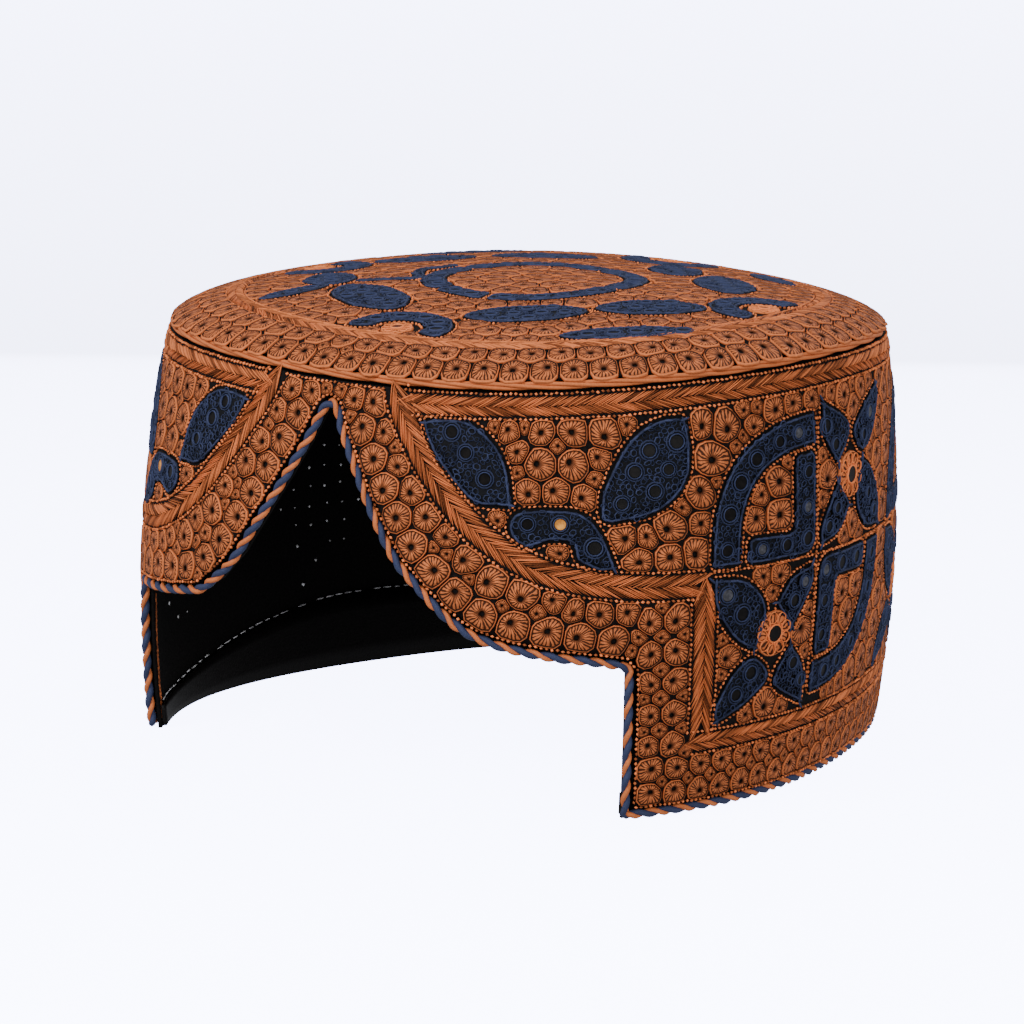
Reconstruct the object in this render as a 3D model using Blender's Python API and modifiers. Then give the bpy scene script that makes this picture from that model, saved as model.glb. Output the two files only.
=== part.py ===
"""Sindhi cap: a round embroidered cap whose wall is cut away in front into two lobes.

Metres, +Z up. The foot stands on z = 0, and the point between the lobes faces -Y.
An azimuth is measured in degrees from the front, positive towards +X.
"""

import math

import bmesh
import bpy
from mathutils import Vector

# Driving sizes of the cap
CROWN_RADIUS = 0.0900
WALL_HEIGHT = 0.1069
CROWN_RISE = 0.0112
HALF_OPENING = 49.4
POINT_AZIMUTH = 1.1

# Cloth and cords
WALL_THICKNESS = 0.0020
LINING_THICKNESS = 0.0010
SWEATBAND_THICKNESS = 0.0010
CROWN_THICKNESS = 0.0016
EDGE_CORD_DIAMETER = 0.0026
RIM_CORD_DIAMETER = 0.0024
RIM_CORD_PROUD = 0.0006
PATCH_THICKNESS = 0.0008
SEAM_GAP = 0.0003
CHORD_ROOM = 0.0005
LINING_MARGIN = 0.0009

# Sweatband: tall behind, low where it meets the cut edges
SWEATBAND_HEIGHT = 0.0190
SWEATBAND_END_HEIGHT = 0.0060
SWEATBAND_RISE_ANGLE = 60.0
SWEATBAND_LIFT = 0.0006

# Columns and rows of faces
BACK_COLUMNS = 18
FRONT_COLUMNS = 12
LOW_ROWS = 3
HIGH_ROWS = 4
CROWN_COLUMNS = 54
CORD_SIDES_STEP = 1
FRONT_SPACING_POWER = 1.5
EDGE_SAMPLES = 600
WELD = 0.000001

# Waves of the wall, as shares of the crown radius: (place, turns round the cap, along front, across)
WALL_WAVES = [
    ("foot", 0, 0.046, 0.000),
    ("foot", 1, 0.017, -0.012),
    ("foot", 2, 0.088, -0.024),
    ("foot", 3, -0.038, 0.000),
    ("middle", 0, 0.048, 0.000),
    ("rim", 1, -0.015, -0.016),
    ("rim", 2, -0.026, -0.011),
    ("rim", 3, -0.018, 0.000),
    ("height", 1, 0.000, 0.012),
    ("height", 2, -0.012, 0.000),
    ("height", 3, 0.000, -0.010),
]

# Edge of the opening: (share of the way from the point to the upright edge,
# height on the right, height on the left), heights as shares of the wall height
OPENING_ROWS = [
    (0.00, 0.913, 0.913),
    (0.05, 0.854, 0.839),
    (0.10, 0.797, 0.767),
    (0.16, 0.722, 0.685),
    (0.22, 0.652, 0.608),
    (0.28, 0.587, 0.535),
    (0.34, 0.542, 0.489),
    (0.42, 0.486, 0.443),
    (0.50, 0.440, 0.428),
    (0.60, 0.408, 0.413),
    (0.75, 0.383, 0.396),
    (0.90, 0.367, 0.384),
    (1.00, 0.354, 0.365),
]

# Crown profile: (share of the crown radius, share of the crown rise)
CROWN_ROWS = [
    (0.000, 1.000),
    (0.220, 0.973),
    (0.430, 0.894),
    (0.640, 0.764),
    (0.824, 0.610),
    (0.880, 0.518),
    (0.930, 0.385),
    (0.965, 0.260),
]
CROWN_EDGE_TILT = 45.0

# Lobe patches, right-hand side: (name, azimuth from the point, height, length, width as
# shares of the wall height, turn and bend in degrees, bluntness of the tips)
LOBE_ROWS = [
    ("leaf_upper", 24.4, 0.838, 0.270, 0.112, -40.0, 0.0, 0.25),
    ("leaf_side", 51.7, 0.808, 0.280, 0.165, 47.0, 0.0, 0.30),
    ("bar", 41.4, 0.676, 0.270, 0.072, -32.0, 70.0, 0.70),
]

# Medallions of the side and back panels
MEDALLION_COUNT = 5
MEDALLION_FIRST = 83.4
MEDALLION_HEIGHT = 0.566
QUADRANT_WIDTH = 0.318
QUADRANT_HEIGHT = 0.337
QUADRANT_MARGIN = 0.008
FRAME_BAND = 0.068
FRAME_ARC_STEPS = 5
FRAME_FOOT_STEPS = 3
FRAME_POST_STEPS = 2
PETAL_REACH = 0.205
# Outline of one petal: (angle from its axis, share of its reach)
PETAL_ROWS = [
    (0.0, 1.00),
    (12.0, 0.93),
    (22.0, 0.60),
    (45.0, 0.29),
]

# Crown patches: (name, azimuth, radius, length, width as shares of the crown radius,
# turn from the front-to-back line's normal and bend in degrees, bluntness of the tips)
CROWN_PATCHES = [
    ("crescent_front", 3.0, 0.578, 0.400, 0.078, 3.0, 195.0, 0.75),
    ("crescent_right", 93.0, 0.640, 0.400, 0.078, 93.0, 195.0, 0.75),
    ("crescent_back", 183.0, 0.640, 0.400, 0.078, 183.0, 195.0, 0.75),
    ("crescent_left", 272.0, 0.650, 0.400, 0.078, 273.0, 195.0, 0.75),
    ("leaf_1", 33.0, 0.482, 0.320, 0.160, 37.0, 0.0, 0.30),
    ("leaf_2", 71.6, 0.550, 0.290, 0.155, 37.0, 0.0, 0.30),
    ("leaf_3", 128.0, 0.540, 0.400, 0.165, 130.0, 0.0, 0.30),
    ("leaf_4", 164.0, 0.520, 0.240, 0.150, 130.0, 0.0, 0.30),
    ("leaf_5", 213.0, 0.560, 0.300, 0.150, 217.0, 0.0, 0.30),
    ("leaf_6", 248.0, 0.610, 0.280, 0.150, 223.0, 0.0, 0.30),
    ("leaf_7", 295.0, 0.600, 0.210, 0.145, -50.0, 0.0, 0.40),
    ("leaf_8", 330.6, 0.510, 0.350, 0.180, -30.0, 0.0, 0.30),
    ("thin_leaf_right", 55.0, 0.755, 0.340, 0.100, 40.0, 0.0, 0.30),
    ("thin_leaf_back", 150.0, 0.760, 0.240, 0.070, 150.0, 0.0, 0.30),
    ("thin_leaf_left", 230.0, 0.775, 0.300, 0.080, 230.0, 0.0, 0.30),
    ("thin_leaf_front", 312.7, 0.690, 0.220, 0.075, 75.0, 0.0, 0.30),
]
# Broken ring at the crown's middle: azimuths of its gaps, radius and width as shares
RING_GAPS = [9.0, 84.0, 172.0, 258.0, 334.0]
RING_RADIUS = 0.290
RING_WIDTH = 0.064
RING_GAP_ANGLE = 6.0
RIBBON_STEPS = 4
LOBE_PATCH_ROWS = 2
CRESCENT_STEPS = 6
BEND_OF_CRESCENT = 120.0

# Colour, roughness and metallic value of each material
MATERIALS = {
    "orange_stitching": ((0.43, 0.16, 0.06), 0.80, 0.0),
    "brown_cord": ((0.36, 0.13, 0.05), 0.75, 0.0),
    "two_colour_cord": ((0.17, 0.10, 0.09), 0.75, 0.0),
    "black_lining": ((0.012, 0.012, 0.014), 0.85, 0.0),
    "black_satin": ((0.016, 0.016, 0.019), 0.40, 0.0),
    "navy_stitching": ((0.03, 0.05, 0.11), 0.80, 0.0),
}


def smooth_row(rows, share, column):
    """Value of a table's column at a share, on a smooth curve through its rows."""
    last = len(rows) - 1
    index = max(0, min(last - 1, sum(1 for row in rows[1:-1] if row[0] <= share)))
    before, low, high, after = (rows[max(0, min(last, index + step))] for step in (-1, 0, 1, 2))
    span = high[0] - low[0]
    local = max(0.0, min(1.0, (share - low[0]) / span))
    start = (high[column] - before[column]) / (high[0] - before[0]) if index else 0.0
    end = (after[column] - low[column]) / (after[0] - low[0])
    square, cube = local * local, local ** 3
    return (low[column] * (2 * cube - 3 * square + 1) + start * span * (cube - 2 * square + local)
            + high[column] * (3 * square - 2 * cube) + end * span * (cube - square))


def wave(place, azimuth):
    """Sum of one place's waves at an azimuth, as a length."""
    angle = math.radians(azimuth)
    return CROWN_RADIUS * sum(
        along * math.cos(turns * angle) + across * math.sin(turns * angle)
        for name, turns, along, across in WALL_WAVES if name == place)


def rim_height(azimuth):
    return WALL_HEIGHT + wave("height", azimuth)


def rim_radius(azimuth):
    return CROWN_RADIUS + wave("rim", azimuth)


def around(azimuth, radius, height):
    angle = math.radians(azimuth)
    return Vector((radius * math.sin(angle), -radius * math.cos(angle), height))


def wall_point(azimuth, height, out=0.0):
    """Point of the wall's outer face, or off it by out."""
    share = height / rim_height(azimuth)
    foot = CROWN_RADIUS + wave("foot", azimuth)
    bulge = 4.0 * share * (1.0 - share) * wave("middle", azimuth)
    radius = foot * (1.0 - share) + rim_radius(azimuth) * share + bulge
    return around(azimuth, radius + out, height)


def crown_point(azimuth, share, out=0.0):
    """Point of the crown's upper face at a share of the rim's radius, or above it by out."""
    lift = wave("height", azimuth) * share
    rise = CROWN_RISE * smooth_row(CROWN_ROWS, share, 1)
    return around(azimuth, rim_radius(azimuth) * share, WALL_HEIGHT + lift + rise + out)


def opening_edge(azimuth):
    """Height of the opening's edge between the two upright edges."""
    side = azimuth - POINT_AZIMUTH
    reach = HALF_OPENING - POINT_AZIMUTH if side > 0.0 else HALF_OPENING + POINT_AZIMUTH
    column = 1 if side > 0.0 else 2
    return WALL_HEIGHT * smooth_row(OPENING_ROWS, abs(side) / reach, column)


def margin_angle(margin):
    return math.degrees(margin / CROWN_RADIUS)


EDGE_CURVE = [(turn, opening_edge(turn)) for turn in (
    HALF_OPENING * (2.0 * step / EDGE_SAMPLES - 1.0) for step in range(EDGE_SAMPLES + 1))]


def inset_edge(azimuth, margin):
    """Height of a line that runs a margin above the opening's edge, measured square to it."""
    reach = margin_angle(margin)
    heights = []
    for turn, height in EDGE_CURVE:
        away = abs(turn - azimuth)
        if away <= reach + WELD:
            heights.append(height + margin * math.sqrt(max(0.0, 1.0 - (away / reach) ** 2)))
    return max(heights)


def new_material(name):
    colour, roughness, metallic = MATERIALS[name]
    material = bpy.data.materials.new(name)
    material.use_nodes = True
    shader = material.node_tree.nodes["Principled BSDF"]
    shader.inputs["Base Color"].default_value = (*colour, 1.0)
    shader.inputs["Roughness"].default_value = roughness
    shader.inputs["Metallic"].default_value = metallic
    material.diffuse_color = (*colour, 1.0)
    return material


class Cap:
    """The collection that the cap's pieces go in, with their materials."""

    def __init__(self):
        self.collection = bpy.data.collections.new("sindhi_cap")
        bpy.context.scene.collection.children.link(self.collection)
        self.materials = {name: new_material(name) for name in MATERIALS}

    def add(self, name, data, material):
        data.materials.append(self.materials[material])
        piece = bpy.data.objects.new(name, data)
        self.collection.objects.link(piece)
        return piece

    def add_sheet(self, name, sheet, material, thickness, side):
        """A sheet of cloth given its thickness, outwards for side 1 and inwards for side -1."""
        mesh = bpy.data.meshes.new(name)
        sheet.to_mesh(mesh)
        sheet.free()
        piece = self.add(name, mesh, material)
        solid = piece.modifiers.new("thickness", "SOLIDIFY")
        solid.thickness = thickness
        solid.offset = side
        solid.use_even_offset = True
        return piece

    def add_cord(self, name, points, material, diameter):
        """A closed cord through the points."""
        curve = bpy.data.curves.new(name, "CURVE")
        curve.dimensions = "3D"
        curve.bevel_depth = diameter / 2.0
        curve.bevel_resolution = CORD_SIDES_STEP
        spline = curve.splines.new("POLY")
        spline.points.add(len(points) - 1)
        spline.use_cyclic_u = True
        for point, place in zip(spline.points, points):
            point.co = (*place, 1.0)
        return self.add(name, curve, material)


def mapped_grid(columns, rows, place, keep=None):
    """A grid whose corners stand where place(column, row) says, less the faces not kept."""
    columns, rows = round(columns), round(rows)
    sheet = bmesh.new()
    bmesh.ops.create_grid(sheet, x_segments=columns, y_segments=rows, size=1.0)
    cells = {}
    for face in sheet.faces:
        middle = face.calc_center_median()
        cells[face] = (math.floor((middle.x + 1.0) / 2.0 * columns), math.floor((middle.y + 1.0) / 2.0 * rows))
    for corner in sheet.verts:
        column = round((corner.co.x + 1.0) / 2.0 * columns)
        row = round((corner.co.y + 1.0) / 2.0 * rows)
        corner.co = place(column, row)
    if keep:
        dropped = [face for face, cell in cells.items() if not keep(*cell)]
        bmesh.ops.delete(sheet, geom=dropped, context="FACES")
    bmesh.ops.remove_doubles(sheet, verts=sheet.verts, dist=WELD)
    sheet.normal_update()
    return sheet


def face_outwards(sheet, outward):
    """Turn the sheet over if its faces look against outward(face middle)."""
    facing = sum(face.normal.dot(outward(face.calc_center_median())) * face.calc_area() for face in sheet.faces)
    if facing < 0.0:
        bmesh.ops.reverse_faces(sheet, faces=sheet.faces)
    return sheet


def from_axis(point):
    return Vector((point.x, point.y, 0.0)).normalized()


def column_azimuth(column, edge):
    """Azimuth of a column of the wall: even behind, closer together towards the point in front."""
    if column <= BACK_COLUMNS:
        return -180.0 + (180.0 - edge) * column / BACK_COLUMNS
    if column >= BACK_COLUMNS + 2 * FRONT_COLUMNS:
        return edge + (180.0 - edge) * (column - BACK_COLUMNS - 2 * FRONT_COLUMNS) / BACK_COLUMNS
    way = (column - BACK_COLUMNS - FRONT_COLUMNS) / FRONT_COLUMNS
    reach = edge - POINT_AZIMUTH if way > 0.0 else edge + POINT_AZIMUTH
    return POINT_AZIMUTH + math.copysign(abs(way) ** FRONT_SPACING_POWER, way) * reach


def is_front(column):
    return BACK_COLUMNS <= column < BACK_COLUMNS + 2 * FRONT_COLUMNS


def shelf_height(azimuth, margin):
    """Height over the opening's edge in front, levelling out between its two ends behind."""
    height = inset_edge(max(-HALF_OPENING, min(HALF_OPENING, azimuth)), margin)
    level = (inset_edge(-HALF_OPENING, margin) + inset_edge(HALF_OPENING, margin)) / 2.0
    way = max(0.0, (abs(azimuth) - HALF_OPENING) / (180.0 - HALF_OPENING))
    return height + (level - height) * way


def wall_sheet(margin, bottom, below_rim, out):
    """The wall's sheet at a distance out, set back by a margin from the opening."""
    edge = HALF_OPENING + margin_angle(margin)
    columns = 2 * BACK_COLUMNS + 2 * FRONT_COLUMNS

    def place(column, row):
        azimuth = column_azimuth(column, edge)
        shelf = shelf_height(azimuth, margin)
        top = rim_height(azimuth) - below_rim
        if row <= LOW_ROWS:
            height = bottom + (shelf - bottom) * row / LOW_ROWS
        else:
            height = shelf + (top - shelf) * (row - LOW_ROWS) / HIGH_ROWS
        return wall_point(azimuth, height, out)

    def keep(column, row):
        return row >= LOW_ROWS or not is_front(column)

    return face_outwards(mapped_grid(columns, LOW_ROWS + HIGH_ROWS, place, keep), from_axis)


def side_wall(cap):
    margin = EDGE_CORD_DIAMETER + SEAM_GAP + CHORD_ROOM
    below_rim = RIM_CORD_DIAMETER / 2.0 + SEAM_GAP
    sheet = wall_sheet(margin, margin, below_rim, 0.0)
    cap.add_sheet("side_wall", sheet, "orange_stitching", WALL_THICKNESS, -1.0)


LINING_OUT = -(WALL_THICKNESS + SEAM_GAP)
SWEATBAND_OUT = LINING_OUT - LINING_THICKNESS - SEAM_GAP


def level_foot(piece, height):
    """Gives a sheet its thickness for good and lays its foot, all that is lower than the height, flat on z = 0."""
    graph = bpy.context.evaluated_depsgraph_get()
    mesh = bpy.data.meshes.new_from_object(piece.evaluated_get(graph))
    for corner in mesh.vertices:
        if corner.co.z < height:
            corner.co.z = 0.0
    piece.modifiers.clear()
    piece.data = mesh


def wall_lining(cap):
    sheet = wall_sheet(LINING_MARGIN, 0.0, SEAM_GAP, LINING_OUT)
    lining = cap.add_sheet("wall_lining", sheet, "black_lining", LINING_THICKNESS, -1.0)
    level_foot(lining, LINING_THICKNESS / 2.0)


def sweatband_height(azimuth):
    way = min(1.0, (abs(azimuth) - HALF_OPENING) / SWEATBAND_RISE_ANGLE)
    ease = way * way * (3.0 - 2.0 * way)
    return SWEATBAND_END_HEIGHT + (SWEATBAND_HEIGHT - SWEATBAND_END_HEIGHT) * ease


def sweatband(cap):
    edge = HALF_OPENING + margin_angle(LINING_MARGIN)

    def place(column, row):
        azimuth = column_azimuth(column, edge)
        height = SWEATBAND_LIFT + (sweatband_height(azimuth) - SWEATBAND_LIFT) * row
        return wall_point(azimuth, height, SWEATBAND_OUT)

    sheet = mapped_grid(2 * BACK_COLUMNS + 2 * FRONT_COLUMNS, 1, place, lambda column, row: not is_front(column))
    cap.add_sheet("sweatband", face_outwards(sheet, from_axis), "black_satin", SWEATBAND_THICKNESS, -1.0)


def rim_cord(cap):
    centre = RIM_CORD_PROUD - RIM_CORD_DIAMETER / 2.0
    points = []
    for step in range(CROWN_COLUMNS):
        azimuth = 360.0 * step / CROWN_COLUMNS
        points.append(around(azimuth, rim_radius(azimuth) + centre, rim_height(azimuth)))
    cap.add_cord("rim_cord", points, "brown_cord", RIM_CORD_DIAMETER)


def edge_cord(cap):
    radius = EDGE_CORD_DIAMETER / 2.0
    out = radius - WALL_THICKNESS
    edge = HALF_OPENING + margin_angle(radius)
    turn = margin_angle(radius)
    points = []
    for step in range(2 * BACK_COLUMNS + 1):
        way = step / (2 * BACK_COLUMNS)
        azimuth = edge + turn + way * (360.0 - 2.0 * (edge + turn))
        points.append(wall_point(azimuth, radius, out))
    for side in (-1.0, 1.0):
        shelf = inset_edge(side * HALF_OPENING, radius)
        upright = [wall_point(side * edge, 2.0 * radius + (shelf - 3.0 * radius) * step / LOW_ROWS, out)
                   for step in range(LOW_ROWS + 1)]
        lobe = []
        for step in range(2 * FRONT_COLUMNS):
            way = 1.0 - step / (2 * FRONT_COLUMNS)
            reach = (HALF_OPENING - turn) - side * POINT_AZIMUTH
            azimuth = POINT_AZIMUTH + side * reach * way ** FRONT_SPACING_POWER
            lobe.append(wall_point(azimuth, inset_edge(azimuth, radius), out))
        if side < 0.0:
            points += upright + lobe + [wall_point(POINT_AZIMUTH, inset_edge(POINT_AZIMUTH, radius), out)]
        else:
            points += lobe[::-1] + upright[::-1]
    cap.add_cord("edge_cord", points, "two_colour_cord", EDGE_CORD_DIAMETER)


def crown_rim_profile():
    """Outer corner of the crown's edge, seated on the rim cord: its distance inside the rim and its lift."""
    tilt = math.radians(CROWN_EDGE_TILT)
    reach = RIM_CORD_DIAMETER / 2.0 + SEAM_GAP
    half = CROWN_THICKNESS / 2.0
    inside = RIM_CORD_DIAMETER / 2.0 - RIM_CORD_PROUD + reach * math.cos(tilt) - half * math.sin(tilt)
    lift = reach * math.sin(tilt) + half * math.cos(tilt)
    return inside, lift


def crown(cap):
    inside, lift = crown_rim_profile()
    sheet = bmesh.new()
    profile = [Vector((CROWN_RADIUS * share, 0.0, CROWN_RISE * rise)) for share, rise in CROWN_ROWS]
    profile.append(Vector((CROWN_RADIUS - inside, 0.0, lift)))
    corners = [sheet.verts.new(place) for place in profile]
    edges = [sheet.edges.new(pair) for pair in zip(corners, corners[1:])]
    bmesh.ops.spin(sheet, geom=corners + edges, axis=(0, 0, 1), cent=(0, 0, 0),
                   steps=CROWN_COLUMNS, angle=math.tau, use_merge=True)
    bmesh.ops.remove_doubles(sheet, verts=sheet.verts, dist=WELD)
    for corner in sheet.verts:
        x, y, rise = corner.co
        radius = math.hypot(x, y)
        azimuth = math.degrees(math.atan2(x, -y)) if radius > WELD else 0.0
        share = radius / CROWN_RADIUS
        corner.co = around(azimuth, radius + share * wave("rim", azimuth),
                           WALL_HEIGHT + rise + share * wave("height", azimuth))
    sheet.normal_update()
    face_outwards(sheet, lambda middle: Vector((0.0, 0.0, 1.0)))
    cap.add_sheet("crown", sheet, "orange_stitching", CROWN_THICKNESS, -1.0)


def ribbon_outline(length, width, bend, blunt, turn, steps):
    """Function of (step, side) that gives a point of a straight or bent ribbon with narrowed tips."""
    def place(step, side):
        way = 2.0 * step / steps - 1.0
        arc = math.radians(bend) / 2.0 * way
        half = width / 2.0 * (blunt + (1.0 - blunt) * math.sqrt(max(0.0, 1.0 - way * way)))
        offset = half * (2.0 * side - 1.0)
        if bend:
            radius = length / math.radians(bend)
            along = (radius + offset) * math.sin(arc)
            up = (radius + offset) * math.cos(arc) - radius
        else:
            along, up = length / 2.0 * way, offset
        spin = math.radians(turn)
        return along * math.cos(spin) - up * math.sin(spin), along * math.sin(spin) + up * math.cos(spin)
    return place


def add_patch(cap, name, sheet, outward):
    cap.add_sheet(name, face_outwards(sheet, outward), "navy_stitching", PATCH_THICKNESS, 1.0)


def on_wall(azimuth, height, along, up):
    """Point over the wall, from a middle given by azimuth and height and two lengths on its face."""
    return wall_point(azimuth + math.degrees(along / CROWN_RADIUS), height + up, SEAM_GAP)


def lobe_patches(cap):
    for side, label in ((1.0, "right"), (-1.0, "left")):
        for name, azimuth, height, length, width, turn, bend, blunt in LOBE_ROWS:
            outline = ribbon_outline(length * WALL_HEIGHT, width * WALL_HEIGHT, bend, blunt, turn, RIBBON_STEPS)

            def place(step, edge):
                along, up = outline(step, edge / LOBE_PATCH_ROWS)
                return on_wall(POINT_AZIMUTH + side * azimuth, height * WALL_HEIGHT, side * along, up)

            sheet = mapped_grid(RIBBON_STEPS, LOBE_PATCH_ROWS, place)
            add_patch(cap, f"lobe_{label}_{name}", sheet, from_axis)


def frame_loop():
    """Pairs of outer and inner points round a quarter frame whose corner is at the origin."""
    band = FRAME_BAND
    margin = QUADRANT_MARGIN
    wide, tall = QUADRANT_WIDTH - margin, QUADRANT_HEIGHT - margin
    low = margin + band
    first = math.asin(low / (tall - band))
    last = math.acos(low / (wide - band))
    pairs = []
    for step in range(FRAME_ARC_STEPS + 1):
        way = step / FRAME_ARC_STEPS
        outer = math.asin(margin / tall) + way * (math.acos(margin / wide) - math.asin(margin / tall))
        inner = first + way * (last - first)
        pairs.append(((wide * math.cos(outer), tall * math.sin(outer)),
                      ((wide - band) * math.cos(inner), (tall - band) * math.sin(inner))))
    top, side = pairs[-1], pairs[0]
    for step in range(1, FRAME_POST_STEPS):
        way = step / FRAME_POST_STEPS
        pairs.append(((margin, top[0][1] + way * (margin - top[0][1])), (low, top[1][1] + way * (low - top[1][1]))))
    pairs.append(((margin, margin), (low, low)))
    for step in range(1, FRAME_FOOT_STEPS):
        way = step / FRAME_FOOT_STEPS
        pairs.append(((margin + way * (side[0][0] - margin), margin), (low + way * (side[1][0] - low), low)))
    return pairs


def flower_reach(step):
    """Angle and reach of a four-petal flower's outline at one of its steps."""
    per_petal = 2 * (len(PETAL_ROWS) - 1)
    petal, place = divmod(step + len(PETAL_ROWS) - 1, per_petal)
    index = place - (len(PETAL_ROWS) - 1)
    away, reach = PETAL_ROWS[abs(index)]
    return math.radians(45.0 + 90.0 * petal + math.copysign(away, index)), reach * PETAL_REACH


def medallions(cap):
    last = 360.0 - MEDALLION_FIRST
    pairs = frame_loop()
    petal_steps = 8 * (len(PETAL_ROWS) - 1)
    height = MEDALLION_HEIGHT * WALL_HEIGHT
    for number in range(MEDALLION_COUNT):
        azimuth = POINT_AZIMUTH + MEDALLION_FIRST + (last - MEDALLION_FIRST) * number / (MEDALLION_COUNT - 1)
        hand = 1.0 if 2 * number < MEDALLION_COUNT else -1.0
        for label, right, up in (("upper", -hand, 1.0), ("lower", hand, -1.0)):
            def frame_place(step, edge):
                across, rise = pairs[step % len(pairs)][edge]
                return on_wall(azimuth, height, right * across * WALL_HEIGHT, up * rise * WALL_HEIGHT)

            def flower_place(step, edge):
                angle, reach = flower_reach(step % petal_steps)
                across = -right * QUADRANT_WIDTH / 2.0 + edge / 2.0 * reach * math.cos(angle)
                rise = up * QUADRANT_HEIGHT / 2.0 + edge / 2.0 * reach * math.sin(angle)
                return on_wall(azimuth, height, across * WALL_HEIGHT, rise * WALL_HEIGHT)

            add_patch(cap, f"medallion_{number + 1}_frame_{label}", mapped_grid(len(pairs), 1, frame_place), from_axis)
            add_patch(cap, f"medallion_{number + 1}_flower_{label}", mapped_grid(petal_steps, 2, flower_place),
                      from_axis)


def on_crown(x, y):
    """Point over the crown above a plan place."""
    azimuth = math.degrees(math.atan2(x, -y))
    return crown_point(azimuth, math.hypot(x, y) / rim_radius(azimuth), SEAM_GAP)


def crown_patches(cap):
    rows = list(CROWN_PATCHES)
    for index, gap in enumerate(RING_GAPS):
        following = RING_GAPS[(index + 1) % len(RING_GAPS)]
        span = (following - gap) % 360.0 - RING_GAP_ANGLE
        middle = gap + RING_GAP_ANGLE / 2.0 + span / 2.0
        rows.append((f"ring_{index + 1}", middle, RING_RADIUS, math.radians(span) * RING_RADIUS, RING_WIDTH,
                     middle + 180.0, span, 1.0))
    for name, azimuth, radius, length, width, turn, bend, blunt in rows:
        steps = CRESCENT_STEPS if bend > BEND_OF_CRESCENT else RIBBON_STEPS
        outline = ribbon_outline(length * CROWN_RADIUS, width * CROWN_RADIUS, bend, blunt, turn, steps)
        middle = around(azimuth, radius * CROWN_RADIUS, 0.0)

        def place(step, edge):
            along, up = outline(step, edge)
            return on_crown(middle.x + along, middle.y + up)

        add_patch(cap, f"crown_{name}", mapped_grid(steps, 1, place), lambda point: Vector((0.0, 0.0, 1.0)))


def stand_over_middle(cap):
    """Move the pieces so that the middle of the whole cap's box stands over the origin."""
    bpy.context.view_layer.update()
    depsgraph = bpy.context.evaluated_depsgraph_get()
    low = Vector((math.inf, math.inf))
    high = Vector((-math.inf, -math.inf))
    for piece in cap.collection.objects:
        evaluated = piece.evaluated_get(depsgraph)
        mesh = evaluated.to_mesh()
        for corner in mesh.vertices:
            low = Vector(map(min, low, corner.co.xy))
            high = Vector(map(max, high, corner.co.xy))
        evaluated.to_mesh_clear()
    middle = (low + high) / 2.0
    for piece in cap.collection.objects:
        piece.location = (-middle.x, -middle.y, 0.0)


def main():
    for leftover in list(bpy.context.scene.objects):
        bpy.data.objects.remove(leftover)
    cap = Cap()
    crown(cap)
    side_wall(cap)
    rim_cord(cap)
    edge_cord(cap)
    wall_lining(cap)
    sweatband(cap)
    lobe_patches(cap)
    medallions(cap)
    crown_patches(cap)
    stand_over_middle(cap)


main()
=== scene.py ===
"""Looks of an embroidered sindhi cap: every seam, wheel, stitch and cord, laid on the cap's solids.

The embroidery is drawn flat first and then laid on the cap. On the wall's flat chart x runs round
the cap at the crown's radius, y is the height and z the distance out of the cloth. On the crown's
chart x and y are the plan and z the distance above the cloth. Metres and radians throughout.
"""

import math
import random

import bmesh
import bpy
import numpy as np
from mathutils import Matrix, Vector, kdtree


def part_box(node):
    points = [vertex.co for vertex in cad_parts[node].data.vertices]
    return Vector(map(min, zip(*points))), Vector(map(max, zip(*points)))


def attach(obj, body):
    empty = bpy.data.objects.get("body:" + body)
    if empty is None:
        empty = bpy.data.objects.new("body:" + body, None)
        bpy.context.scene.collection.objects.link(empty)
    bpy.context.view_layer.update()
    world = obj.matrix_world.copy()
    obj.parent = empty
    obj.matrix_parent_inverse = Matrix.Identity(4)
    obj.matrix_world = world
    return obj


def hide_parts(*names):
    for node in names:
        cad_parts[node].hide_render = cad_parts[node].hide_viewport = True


bl_info = {
    "name": "Sindhi cap",
    "version": (1, 0, 0),
    "blender": (4, 5, 0),
    "location": "3D View > Sidebar > Cap",
    "description": "Embroiders a sindhi cap with wheels, herringbone bands, mirrors and corded edges",
    "category": "Add Mesh",
}

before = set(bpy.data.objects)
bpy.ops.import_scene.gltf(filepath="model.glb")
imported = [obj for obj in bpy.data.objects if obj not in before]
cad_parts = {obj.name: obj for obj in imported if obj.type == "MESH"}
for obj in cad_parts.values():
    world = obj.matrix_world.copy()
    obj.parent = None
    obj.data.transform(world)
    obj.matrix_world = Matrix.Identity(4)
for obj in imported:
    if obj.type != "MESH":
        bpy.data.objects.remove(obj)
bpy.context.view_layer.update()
MM = 0.001

# Form of the cap
CROWN_RADIUS = 90.0 * MM
WALL_HEIGHT = 106.9 * MM
CROWN_RISE = 11.2 * MM
HALF_OPENING = math.radians(49.4)
POINT_ANGLE = math.radians(1.1)
WALL_THICKNESS = 2.0 * MM
LINING_THICKNESS = 1.0 * MM
CROWN_THICKNESS = 1.6 * MM
SEAM_GAP = 0.3 * MM
EDGE_CORD = 2.6 * MM
RIM_CORD = 2.4 * MM
RIM_CORD_PROUD = 0.6 * MM
RIM_CORD_POINTS = 54

# Waves of the wall, as shares of the crown radius: (place, turns round the cap, along front, across)
WALL_WAVES = [
    ("foot", 0, 0.046, 0.000),
    ("foot", 1, 0.017, -0.012),
    ("foot", 2, 0.088, -0.024),
    ("foot", 3, -0.038, 0.000),
    ("middle", 0, 0.048, 0.000),
    ("rim", 1, -0.015, -0.016),
    ("rim", 2, -0.026, -0.011),
    ("rim", 3, -0.018, 0.000),
    ("height", 1, 0.000, 0.012),
    ("height", 2, -0.012, 0.000),
    ("height", 3, 0.000, -0.010),
]
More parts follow.
